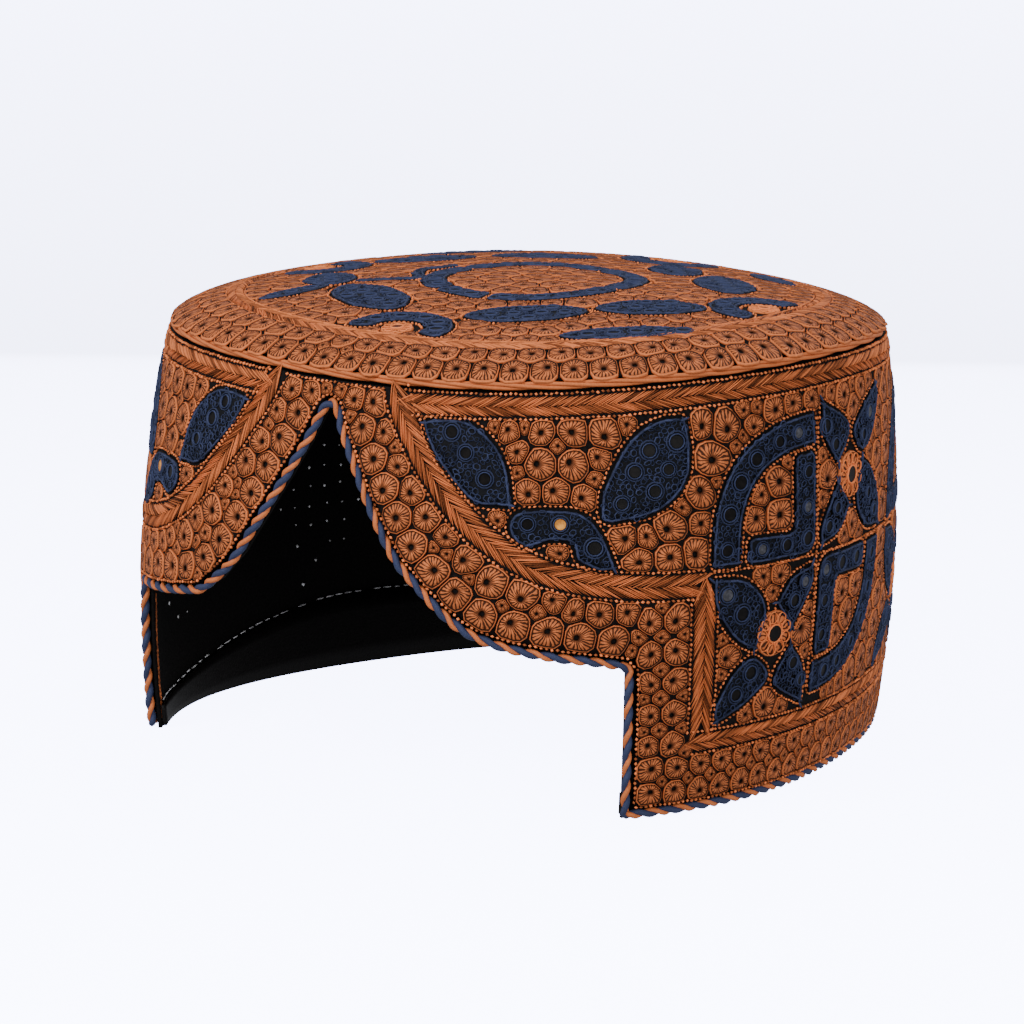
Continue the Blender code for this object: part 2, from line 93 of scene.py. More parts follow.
# Edge of the opening: (share of the way from the point to the upright edge,
# height on the right, height on the left), heights as shares of the wall height
OPENING_ROWS = [
    (0.00, 0.913, 0.913),
    (0.05, 0.854, 0.839),
    (0.10, 0.797, 0.767),
    (0.16, 0.722, 0.685),
    (0.22, 0.652, 0.608),
    (0.28, 0.587, 0.535),
    (0.34, 0.542, 0.489),
    (0.42, 0.486, 0.443),
    (0.50, 0.440, 0.428),
    (0.60, 0.408, 0.413),
    (0.75, 0.383, 0.396),
    (0.90, 0.367, 0.384),
    (1.00, 0.354, 0.365),
]
# Crown profile: (share of the crown radius, share of the crown rise)
CROWN_ROWS = [
    (0.000, 1.000),
    (0.220, 0.973),
    (0.430, 0.894),
    (0.640, 0.764),
    (0.824, 0.610),
    (0.880, 0.518),
    (0.930, 0.385),
    (0.965, 0.260),
    (0.988, 0.145),
    (1.000, 0.060),
]

# Inside: pitch of the pinholes in the lining, and the satin band's height at the uprights and its rise
PIN_PITCH = 5.2 * MM
SATIN_END_HEIGHT = 6.0 * MM
SATIN_RISE = 13.0 * MM
SATIN_RISE_ANGLE = math.radians(60.0)
BASTING_LIFT = 0.5 * MM

# View of the cap
CAMERA_AZIMUTH = math.radians(36.166)
CAMERA_ELEVATION = math.radians(12.0)
CAMERA_ROLL = math.radians(0.551)
CAMERA_DISTANCE = 1.2
CAMERA_TARGET = (-5.436 * MM, 11.843 * MM, 45.0 * MM)
PICTURE_SIDE = 1024
FOCAL_PIXELS = 4610.25
SENSOR_MM = 36.0

# Floor: half its side, its own light, and its tones from front to back, each (share of the way, tone)
FLOOR_HALF_SIDE = 8.0
FLOOR_SHINE = 18.0
FLOOR_TONES = [(0.30, 1.0), (0.52, 0.75), (0.632, 0.57), (0.636, 0.40), (0.72, 0.46), (1.0, 0.59)]
# Soft lights, each (name, place, side, power), the middle that they face, and the studio round them
LIGHTS = [
    ("key", (-0.45, -1.25, 1.0), 0.7, 20.0),
    ("fill", (1.3, -0.7, 0.7), 1.0, 12.0),
    ("back", (0.2, 1.4, 1.4), 1.2, 9.0),
]
LIGHT_TARGET = (0.0, 0.0, 0.06)
STUDIO_COLOUR = (0.92, 0.94, 1.0, 1.0)
STUDIO_STRENGTH = 0.62

# Bands of herringbone stitches on the wall
BAND_WIDTH = 4.4 * MM
LOBE_BAND_WIDTH = 5.6 * MM
RIM_BAND_DROP = 4.7 * MM
FOOT_BAND_HEIGHT = 18.1 * MM
FOOT_BAND_WIDTH = 4.2 * MM
BAR_AZIMUTH = math.radians(62.0)
BAR_TOP = 57.5 * MM
BAR_FOOT = 20.4 * MM
# Middle line of a lobe's band: (azimuth from the point in degrees, height in mm on the right, on the left)
LOBE_BAND = [
    (11.8, 104.0, 104.0),
    (14.6, 95.5, 95.0),
    (19.6, 84.0, 83.0),
    (24.9, 74.3, 73.0),
    (30.9, 67.0, 66.0),
    (37.0, 62.3, 62.0),
    (44.0, 59.6, 60.0),
    (52.0, 58.3, 58.8),
    (60.9, 57.9, 58.2),
]
CROWN_BAND_SHARE = 0.824
CROWN_BAND_WIDTH = 4.2 * MM

# Rows in which the wheels stand: heights over the foot, azimuths in degrees, distances from the
# lobes' edge and shares of the crown's radius, with the wheels' half widths
FOOT_ROWS = (6.35 * MM, 12.35 * MM)
FOOT_ROW_COUNT = 61
FOOT_WHEEL = 2.9 * MM
UPRIGHT_ROWS = (53.35, 57.2)
UPRIGHT_PITCH = 7.7 * MM
UPRIGHT_WHEEL = 3.0 * MM
LOBE_WHEEL_ROWS = (7.3 * MM, 14.6 * MM)
LOBE_WHEEL = 3.5 * MM
CROWN_EDGE_ROWS = (0.961, 0.889)
CROWN_EDGE_WHEEL = 3.1 * MM
CROWN_ROW_COUNT = 10
CROWN_WHEEL = 3.5 * MM
# Gaps between the rows: pitch of the places that are tried, and the smallest wheels
GRID_PITCH = 0.8 * MM
WHEEL_MARGIN = 2.6 * MM
SMALLEST_WALL_WHEEL = 1.15 * MM
SMALLEST_CROWN_WHEEL = 1.4 * MM
CROWN_GRID_REACH = 0.092

# Mirrors on the right lobe: (azimuth in degrees, height in mm)
LOBE_MIRRORS = {
    "leaf_upper": [(23.1, 95.0), (25.5, 90.3), (28.6, 84.4)],
    "leaf_side": [(57.6, 93.1), (53.3, 91.3), (51.0, 86.3), (56.2, 86.6), (54.0, 81.5), (49.0, 78.8)],
    "bar": [(35.1, 74.1), (39.9, 74.1), (44.9, 68.4)],
}
# Mirrors with a painted glint, a paler grey base colour (orange on the bar) for the light they catch, by
# their place in the lists
PAINTED_GLINT_MIRRORS = {"bar": (1,), "frame_upper": (5, 6, 9), "frame_lower": (8,), "flower_lower": (0, 2),
                   "flower_upper": (5,)}
# Mirrors on a panel's upper frame and lower flower, in mm from the panel's middle
PANEL_MIRRORS = {
    "frame": [(-29.7, 5.1), (-28.9, 13.9), (-25.8, 21.4), (-21.1, 26.6), (-13.9, 30.1), (-7.5, 31.4),
              (-19.5, 4.2), (-11.6, 4.2), (-4.1, 4.7), (-4.3, 12.6), (-4.2, 21.4)],
    "flower": [(-29.4, -6.0), (-25.0, -11.2), (-4.4, -6.2), (-8.0, -10.4), (-21.6, -26.6), (-25.8, -31.6),
               (-6.9, -26.5), (-3.0, -31.6)],
}
# Middle of the first panel's cross (azimuth in degrees, height in mm), and the step from panel to panel
PANEL_MIDDLE = (84.5, 60.5)
PANEL_PITCH = 48.3
PANEL_COUNT = 5
# Forms of a panel in mm from its middle: an arc's middle line, an angle, and a flower's hub
FRAME_ARC = [
    (-29.8, 1.4), (-29.7, 6.0), (-28.8, 14.0), (-25.8, 21.4),
    (-21.0, 26.8), (-14.0, 30.3), (-7.6, 31.6), (-1.6, 32.0),
]
FRAME_ARC_WIDTH = 7.2
FRAME_ANGLE = [(-23.4, 1.0), (-1.6, 1.3), (-1.6, 26.0), (-8.6, 25.7), (-8.6, 6.9), (-23.1, 7.3)]
FLOWER_HUB = (-14.5, -17.7)
HUB_RADIUS = 6.0 * MM
CROWN_HUB_RADIUS = 4.2 * MM
# Outlines of the flower's four petals, their tips given twice
PETALS = [
    [(-33.0, -1.9), (-33.0, -1.9), (-25.0, -2.8), (-19.3, -7.5), (-17.8, -13.1),
     (-20.6, -20.9), (-20.6, -20.9), (-27.0, -17.0), (-32.3, -8.9)],
    [(-1.6, -2.3), (-1.6, -2.3), (-1.7, -7.3), (-8.3, -17.2), (-8.3, -17.2),
     (-14.1, -10.4), (-14.1, -10.4), (-9.3, -4.5)],
    [(-20.9, -22.9), (-15.9, -28.4), (-22.3, -34.0), (-31.1, -38.1), (-31.1, -38.1),
     (-31.7, -34.3), (-27.0, -26.2)],
    [(-8.0, -21.7), (-8.0, -21.7), (-2.7, -28.7), (-1.7, -37.7), (-1.7, -37.7),
     (-12.4, -31.9), (-12.7, -27.3)],
]
# Outlines of the right lobe's patches: (azimuth in degrees, height in mm)
LOBE_PATCHES = {
    "leaf_upper": [
        (18.3, 97.0), (18.3, 97.0), (20.9, 97.7), (24.4, 97.8), (26.9, 96.5), (29.1, 93.9),
        (30.7, 90.9), (31.8, 87.1), (32.3, 82.9), (32.7, 78.0), (32.7, 78.0), (30.4, 78.3),
        (28.4, 78.3), (26.6, 79.4), (24.8, 81.9), (22.6, 85.6), (20.5, 89.7), (19.0, 93.8),
    ],
    "leaf_side": [
        (46.4, 74.9), (46.1, 80.4), (47.3, 85.5), (49.4, 91.5), (52.1, 96.0),
        (55.5, 98.4), (59.0, 98.7), (59.0, 98.7), (59.6, 93.4), (59.6, 89.8),
        (59.4, 85.7), (57.9, 81.1), (55.5, 77.7), (52.8, 75.9), (50.1, 75.0),
    ],
    "bar": [
        (32.5, 72.7), (32.9, 75.5), (34.1, 76.9), (36.8, 77.4), (39.5, 77.4), (41.5, 77.2), (43.4, 76.1),
        (44.9, 74.0), (46.1, 70.8), (47.0, 67.6), (48.0, 63.2), (48.0, 63.2), (45.8, 62.9), (43.9, 64.2),
        (42.4, 65.8), (41.9, 69.0), (40.7, 70.2), (38.3, 70.3), (36.9, 69.5), (35.2, 68.7), (33.5, 70.0),
    ],
}
# Middle line of the small bracket on the crown, in mm, and its width
BRACKET = [
    (-39.0, -24.0), (-33.0, -20.5), (-28.0, -17.0), (-27.5, -13.0),
    (-34.0, -5.0), (-35.5, 0.0), (-33.5, 4.5), (-33.0, 9.0),
]
BRACKET_WIDTH = 2.6


def smooth_row(rows, share, column):
    """Value of a table's column at a share, on a smooth curve through its rows."""
    last = len(rows) - 1
    index = max(0, min(last - 1, sum(1 for row in rows[1:-1] if row[0] <= share)))
    before, low, high, after = (rows[max(0, min(last, index + step))] for step in (-1, 0, 1, 2))
    span = high[0] - low[0]
    local = max(0.0, min(1.0, (share - low[0]) / span))
    start = (high[column] - before[column]) / (high[0] - before[0]) if index else 0.0
    end = (after[column] - low[column]) / (after[0] - low[0])
    square, cube = local * local, local ** 3
    return (low[column] * (2 * cube - 3 * square + 1) + start * span * (cube - 2 * square + local)
            + high[column] * (3 * square - 2 * cube) + end * span * (cube - square))


def wave(place, angle):
    """Sum of one place's waves at an angle from the front, as a length."""
    return CROWN_RADIUS * sum(
        along * np.cos(turns * angle) + across * np.sin(turns * angle)
        for name, turns, along, across in WALL_WAVES if name == place)


def rim_height(angle):
    return WALL_HEIGHT + wave("height", angle)


def opening_edge(angle):
    """Height of the opening's edge between the two upright edges."""
    side = angle - POINT_ANGLE
    reach = HALF_OPENING - POINT_ANGLE if side > 0.0 else HALF_OPENING + POINT_ANGLE
    return WALL_HEIGHT * smooth_row(OPENING_ROWS, abs(side) / reach, 1 if side > 0.0 else 2)


def box_middle():
    """How far the cap stands from its own axis: the rim cord's box against the one its sizes give."""
    angles = np.arange(RIM_CORD_POINTS) * math.tau / RIM_CORD_POINTS
    radius = CROWN_RADIUS + wave("rim", angles)
    places = np.stack((radius * np.sin(angles), -radius * np.cos(angles)), axis=1)
    low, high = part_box("rim_cord")
    middle = (places.min(axis=0) + places.max(axis=0)) / 2.0
    return (low + high) / 2.0 - Vector((*middle, 0.0))


SHIFT = box_middle()
# The wall's chart is cut open between two panels, so that no patch crosses the cut
SEAM_ANGLE = math.radians(205.25)
WALL_GIRTH = math.tau * CROWN_RADIUS
PROFILE_SHARES = np.linspace(0.0, 1.0, 201)
PROFILE_RISES = np.array([smooth_row(CROWN_ROWS, share, 1) for share in PROFILE_SHARES])
EDGE_ANGLES = np.linspace(-HALF_OPENING, HALF_OPENING, 601)
EDGE_HEIGHTS = np.array([opening_edge(angle) for angle in EDGE_ANGLES])


def on_wall(flat):
    """Lays flat places of the wall's chart on the wall."""
    angle, height = flat[:, 0] / CROWN_RADIUS, flat[:, 1]
    share = height / rim_height(angle)
    foot, rim = CROWN_RADIUS + wave("foot", angle), CROWN_RADIUS + wave("rim", angle)
    bulge = 4.0 * share * (1.0 - share) * wave("middle", angle)
    radius = foot * (1.0 - share) + rim * share + bulge + flat[:, 2]
    return np.stack((SHIFT.x + radius * np.sin(angle), SHIFT.y - radius * np.cos(angle), height), axis=1)


def on_crown(flat):
    """Lays flat places of the crown's chart on the crown."""
    angle, radius = np.arctan2(flat[:, 0], -flat[:, 1]), np.hypot(flat[:, 0], flat[:, 1])
    share = radius / (CROWN_RADIUS + wave("rim", angle))
    rise = CROWN_RISE * np.interp(share, PROFILE_SHARES, PROFILE_RISES)
    height = WALL_HEIGHT + wave("height", angle) * share + rise + flat[:, 2]
    return np.stack((SHIFT.x + flat[:, 0], SHIFT.y + flat[:, 1], height), axis=1)


def wall_flat(places):
    """Flat places of points on the wall, with their distance out of it."""
    x, y = places[:, 0] - SHIFT.x, places[:, 1] - SHIFT.y
    angle = np.arctan2(x, -y)
    angle = np.where(angle < SEAM_ANGLE - math.tau, angle + math.tau, angle)
    flat = np.stack((angle * CROWN_RADIUS, places[:, 2], np.zeros(len(places))), axis=1)
    laid = on_wall(flat)
    flat[:, 2] = np.hypot(x, y) - np.hypot(laid[:, 0] - SHIFT.x, laid[:, 1] - SHIFT.y)
    return flat


def crown_flat(places):
    """Flat places of points on the crown, with their distance above it."""
    flat = np.stack((places[:, 0] - SHIFT.x, places[:, 1] - SHIFT.y, np.zeros(len(places))), axis=1)
    flat[:, 2] = places[:, 2] - on_crown(flat)[:, 2]
    return flat


# Paths: arrays of flat (x, y) places

def spaced(path, pitch, closed=False):
    """Places along a path at an even pitch, and the path's direction at each."""
    line = np.vstack((path, path[:1])) if closed else np.asarray(path)
    steps = np.hypot(*np.diff(line, axis=0).T)
    along = np.concatenate(([0.0], np.cumsum(steps)))
    count = max(1, round(along[-1] / pitch))
    at = (np.arange(count) + 0.5) * along[-1] / count
    ahead, behind = np.minimum(at + 0.3 * pitch, along[-1]), np.maximum(at - 0.3 * pitch, 0.0)
    places, front, back = (np.stack([np.interp(where, along, line[:, axis]) for axis in (0, 1)], axis=1)
                           for where in (at, ahead, behind))
    return places, np.arctan2(*(front - back).T[::-1])


def smooth(path, closed=False, pitch=1.0 * MM):
    """A fine curve through a path's corners."""
    path = np.asarray(path, float)
    count = len(path)
    if closed:
        points = [path[(index + step) % count] for index in range(count) for step in (-1, 0, 1, 2)]
    else:
        points = [path[min(max(index + step, 0), count - 1)]
                  for index in range(count - 1) for step in (-1, 0, 1, 2)]
    curve = []
    for start in range(0, len(points), 4):
        before, low, high, after = points[start:start + 4]
        pieces = max(2, round(math.dist(low, high) / pitch))
        for step in range(pieces):
            t = step / pieces
            curve.append(0.5 * (2.0 * low + (high - before) * t
                                + (2.0 * before - 5.0 * low + 4.0 * high - after) * t * t
                                + (3.0 * low - before - 3.0 * high + after) * t ** 3))
    if not closed:
        curve.append(path[-1])
    return np.array(curve)


def beside(path, distance, closed=False):
    """A path moved to its left by a distance, without the places that then lie too near to it."""
    line = np.asarray(path)
    ahead, behind = np.roll(line, -1, axis=0), np.roll(line, 1, axis=0)
    if not closed:
        ahead[-1], behind[0] = line[-1], line[0]
    way = ahead - behind
    way /= np.maximum(np.hypot(*way.T), 1e-9)[:, None]
    moved = line + distance * np.stack((-way[:, 1], way[:, 0]), axis=1)
    near = tree_of(line)
    kept = [near.find((*place, 0.0))[2] > 0.93 * abs(distance) for place in moved]
    return moved[np.array(kept)]


def tree_of(places):
    tree = kdtree.KDTree(len(places))
    for index, place in enumerate(places):
        tree.insert((place[0], place[1], 0.0), index)
    tree.balance()
    return tree


def inside(outlines, places):
    """Which places lie inside the closed outlines, those of holes included."""
    within = np.zeros(len(places), bool)
    for outline in outlines:
        ahead = np.roll(outline, -1, axis=0)
        for (ax, ay), (bx, by) in zip(outline, ahead):
            if ay != by:
                crosses = (ay > places[:, 1]) != (by > places[:, 1])
                reach = ax + (places[:, 1] - ay) * (bx - ax) / (by - ay)
                within ^= crosses & (places[:, 0] < reach)
    return within


def grid_over(low, high, pitch, even=False):
    """Places of a grid over a flat box, every other row set over by half a pitch."""
    rows = []
    rise = pitch if even else pitch * math.sqrt(0.75)
    for index, y in enumerate(np.arange(low[1], high[1], rise)):
        start = low[0] + (0.0 if even else 0.5 * pitch * (index % 2))
        x = np.arange(start, high[0], pitch)
        rows.append(np.stack((x, np.full(len(x), y)), axis=1))
    return np.concatenate(rows)


def opening_path():
    """Flat path of the cut edge: up the right upright edge, over the lobes and down the left one."""
    right = [(HALF_OPENING * CROWN_RADIUS, height) for height in np.linspace(0.0, EDGE_HEIGHTS[-1], 30)]
    lobes = [(angle * CROWN_RADIUS, height) for angle, height in zip(EDGE_ANGLES[::-1], EDGE_HEIGHTS[::-1])]
    left = [(-HALF_OPENING * CROWN_RADIUS, height) for height in np.linspace(EDGE_HEIGHTS[0], 0.0, 30)]
    return np.array(right + lobes + left)


def on_cloth(places, margin):
    """Which flat places lie on the wall's cloth, a margin inside the foot and the rim."""
    angle = places[:, 0] / CROWN_RADIUS
    front = np.abs(angle) < HALF_OPENING
    above = places[:, 1] > np.where(front, np.interp(angle, EDGE_ANGLES, EDGE_HEIGHTS), 0.0)
    return above & (places[:, 1] > margin) & (places[:, 1] < rim_height(angle) - margin)


# Materials

class Socket:
    """A shader value that Python sums can be written with."""

    def __init__(self, shader, socket):
        self.shader = shader
        self.socket = socket

    def math(self, operation, *others):
        return self.shader.node("ShaderNodeMath", {"operation": operation}, (self, *others))

    def __add__(self, other):
        return self.math("ADD", other)

    def __sub__(self, other):
        return self.math("SUBTRACT", other)

    def __rsub__(self, other):
        return self.shader.node("ShaderNodeMath", {"operation": "SUBTRACT"}, (other, self))

    def __mul__(self, other):
        return self.math("MULTIPLY", other)

    __radd__ = __add__
    __rmul__ = __mul__


class Shader:
    """A material's nodes round one Principled shader."""

    def __init__(self, name, roughness, **fixed):
        self.material = bpy.data.materials.new(name)
        self.material.use_nodes = True
        self.tree = self.material.node_tree
        self.surface = self.tree.nodes["Principled BSDF"]
        self.surface.inputs["Roughness"].default_value = roughness
        for socket, value in fixed.items():
            self.surface.inputs[socket.replace("_", " ")].default_value = value

    def put(self, socket, value):
        if isinstance(value, Socket):
            self.tree.links.new(value.socket, socket)
        else:
            socket.default_value = value

    def node(self, kind, settings=None, inputs=(), output=0):
        """A node with its settings, the values or links of its sockets, and the output that is wanted."""
        made = self.tree.nodes.new(kind)
        for name, value in (settings or {}).items():
            if name == "stops":
                ramp = made.color_ramp.elements
                while len(ramp) < len(value):
                    ramp.new(1.0)
                for stop, (place, level) in zip(ramp, value):
                    stop.position = place
                    stop.color = (level, level, level, 1.0)
            else:
                setattr(made, name, value)
        for key, value in (inputs.items() if isinstance(inputs, dict) else enumerate(inputs)):
            self.put(made.inputs[key], value)
        return Socket(self, made.outputs[output])

    def noise(self, scale, detail=2.0):
        place = self.node("ShaderNodeTexCoord", output="Object")
        return self.node("ShaderNodeTexNoise", inputs={"Vector": place, "Scale": scale, "Detail": detail})

    def ramp(self, value, *stops):
        return self.node("ShaderNodeValToRGB", {"stops": stops}, {"Fac": value})

    def mix(self, share, low, high):
        """Mix of two colours by a share."""
        return self.node("ShaderNodeMix", {"data_type": "RGBA"}, {0: share, 6: low, 7: high}, output=2)

    def attribute(self, name):
        return self.node("ShaderNodeAttribute", {"attribute_name": name}, output="Fac")

    def uv(self):
        """The two coordinates of the piece's own UV map."""
        place = self.node("ShaderNodeUVMap", {"uv_map": "UVMap"})
        return tuple(self.node("ShaderNodeSeparateXYZ", inputs=(place,), output=axis) for axis in (0, 1))

    def finish(self, colour, relief=None, depth=0.0002, strength=0.6):
        self.put(self.surface.inputs["Base Color"], colour)
        if relief is not None:
            bump = {"Height": relief, "Distance": depth, "Strength": strength}
            self.put(self.surface.inputs["Normal"], self.node("ShaderNodeBump", inputs=bump))
        return self.material


def tone(colour, factor):
    return (*(min(1.0, part * factor) for part in colour[:3]), 1.0)


def painted_sheen(colour):
    """The paler tone of a thread where it shines: a painted sheen."""
    lift = 0.08 * sum(colour[:3])
    return (*(min(1.0, 1.25 * part + share * lift) for part, share in zip(colour[:3], (1.0, 0.8, 0.6))), 1.0)


def thread_material(name, colour, dark=0.10, roughness=0.62):
    """Stranded thread: lighter and darker strands, the lightest with a painted sheen, with a fine twist
    across them.
    """
    shader = Shader(name, roughness, Specular_IOR_Level=0.15)
    tint = shader.attribute("tint")
    grain = shader.noise(2600.0, 3.0)
    patch = shader.noise(160.0)
    share = shader.ramp(tint * 0.60 + grain * 0.35 + patch * 0.25, (0.25, 0.0), (0.90, 1.0))
    # Colour runs from the darker strands to the painted sheen.
    return shader.finish(shader.mix(share, tone(colour, dark), painted_sheen(colour)), grain, 0.00025, 0.8)


def wheel_material(colour):
    """A wheel: threads from the hole to a dark groove, and a bright cord round them, their lightest tone a
    painted sheen.
    """
    shader = Shader("wheel_thread", 0.62, Specular_IOR_Level=0.15)
    around, across = shader.uv()
    tint = shader.attribute("tint")
    wander = shader.noise(420.0)
    grain = shader.noise(2600.0, 3.0)
    turn = (around * WHEEL_THREADS + wander * 1.4 + tint * 5.0) * math.tau
    threads = shader.ramp(turn.math("SINE") * 0.5 + 0.5, (0.16, 0.04), (0.58, 1.0))
    rows = shader.ramp(across, *WHEEL_TONES)
    blade = shader.ramp(across, (0.50, 1.0), (0.56, 0.0))
    lit = rows * (1.0 - blade * (1.0 - threads))
    share = lit * (tint * 0.15 + grain * 0.65 + 0.42)
    # Colour runs from the dark tone to the painted sheen.
    colour_here = shader.mix(share, tone(colour, 0.05), painted_sheen(colour))
    return shader.finish(colour_here, lit * 0.8 + grain * 0.2, 0.0004, 0.8)


def cloth_material(name, colour, threads_per_metre, roughness=0.8, fleck=0.35):
    """Plain woven cloth, by its own coordinates."""
    shader = Shader(name, roughness, Specular_IOR_Level=0.08)
    weave = shader.noise(threads_per_metre, 3.0)
    share = shader.ramp(weave, (0.35, 0.0), (0.75, 1.0))
    return shader.finish(shader.mix(share, tone(colour, 1.0 - fleck), tone(colour, 1.0 + 2.0 * fleck)), weave)


def mirror_material(name, colour):
    """A small old mirror; its spotted base colour is a painted reflection, dark for its dark surroundings and
    paler for a painted glint.
    """
    shader = Shader(name, 0.35, Specular_IOR_Level=0.10)
    spots = shader.noise(900.0)
    share = shader.ramp(spots, (0.4, 0.0), (0.8, 1.0))
    return shader.finish(shader.mix(share, tone(colour, 0.6), tone(colour, 1.5)))


# Shapes that are repeated, each one unit in half width

WHEEL_SIDES = 16
WHEEL_THREADS = 21.0
# Section of a wheel: (share of its half width, share of its height), from the hole outwards
WHEEL_ROWS = [(0.13, 0.20), (0.24, 0.75), (0.80, 0.80), (0.86, 0.25), (0.93, 1.00), (1.00, 0.05)]
# Light and dark over the same section: (place on the wheel's UV map, tone)
WHEEL_TONES = [
    (0.02, 0.0), (0.17, 0.30), (0.22, 0.95), (0.36, 0.75), (0.44, 0.40),
    (0.50, 0.0), (0.60, 0.0), (0.68, 1.0), (0.86, 1.0), (0.97, 0.1),
]
# Room between a wheel's edge and what else is sewn
CELL_GAP = 0.34 * MM
RING_SIDES = 6
RING_THREAD = 0.27
HUB_PETALS = 9
PAD_HEIGHT = 0.55 * MM


def shape_mesh(name, model):
    mesh = bpy.data.meshes.new(name)
    model.to_mesh(mesh)
    model.free()
    return mesh


def bent_grid(columns, rows, place):
    """A grid with a UV map, bent so that place(share along, row) says where each corner goes."""
    model = bmesh.new()
    model.loops.layers.uv.new("UVMap")
    bmesh.ops.create_grid(model, x_segments=columns, y_segments=rows, size=1.0, calc_uvs=True)
    for corner in model.verts:
        corner.co = place((corner.co.x + 1.0) / 2.0, round((corner.co.y + 1.0) / 2.0 * rows))
    bmesh.ops.remove_doubles(model, verts=model.verts, dist=1e-5)
    bmesh.ops.recalc_face_normals(model, faces=model.faces)
    return model


def wheel_shape():
    """A round wheel, whose edge is moved to fill its cell when it is laid."""
    def place(share, row):
        radius, height = WHEEL_ROWS[row % len(WHEEL_ROWS)]
        angle = share * math.tau
        return Vector((radius * math.cos(angle), radius * math.sin(angle), height))
    return shape_mesh("wheel", bent_grid(WHEEL_SIDES, len(WHEEL_ROWS), place))


def ring_shape():
    """A loop of thread."""
    def place(share, row):
        angle, turn = share * math.tau, row / 3.0 * math.tau + math.pi / 2.0
        radius = 1.0 + RING_THREAD * math.cos(turn)
        return Vector((radius * math.cos(angle), radius * math.sin(angle), RING_THREAD * math.sin(turn)))
    return shape_mesh("ring", bent_grid(RING_SIDES, 3, place))


def loop_shape():
    """A wider and finer loop than the ring."""
    def place(share, row):
        angle, turn = share * math.tau, row / 3.0 * math.tau + math.pi / 2.0
        radius = 1.0 + 0.14 * math.cos(turn)
        return Vector((radius * math.cos(angle), radius * math.sin(angle), 0.3 * math.sin(turn)))
    return shape_mesh("loop", bent_grid(12, 3, place))


def stitch_shape():
    """A stitch with pointed ends, along x."""
    model = bmesh.new()
    model.loops.layers.uv.new("UVMap")
    bmesh.ops.create_uvsphere(model, u_segments=4, v_segments=4, radius=1.0, calc_uvs=True)
    bmesh.ops.rotate(model, verts=model.verts, matrix=Matrix.Rotation(math.pi / 2.0, 3, "Y"))
    return shape_mesh("stitch", model)


def dot_shape():
    model = bmesh.new()
    model.loops.layers.uv.new("UVMap")
    bmesh.ops.create_uvsphere(model, u_segments=4, v_segments=3, radius=1.0, calc_uvs=True)
    return shape_mesh("dot", model)


def disc_shape():
    """A thin mirror."""
    model = bmesh.new()
    model.loops.layers.uv.new("UVMap")
    bmesh.ops.create_cone(model, cap_ends=True, segments=14, radius1=1.0, radius2=0.94, depth=1.0)
    return shape_mesh("disc", model)


def place_at(x, y, out=0.0, turn=0.0, size=(1.0, 1.0, 1.0), tilt=0.0, roll=0.0):
    """Matrix that puts a shape at a flat place: sized, tilted nose up and rolled, then turned."""
    return (Matrix.Translation((x, y, out)) @ Matrix.Rotation(turn, 4, "Z") @ Matrix.Rotation(-tilt, 4, "Y")
            @ Matrix.Rotation(roll, 4, "X") @ Matrix.Diagonal((*size, 1.0)))


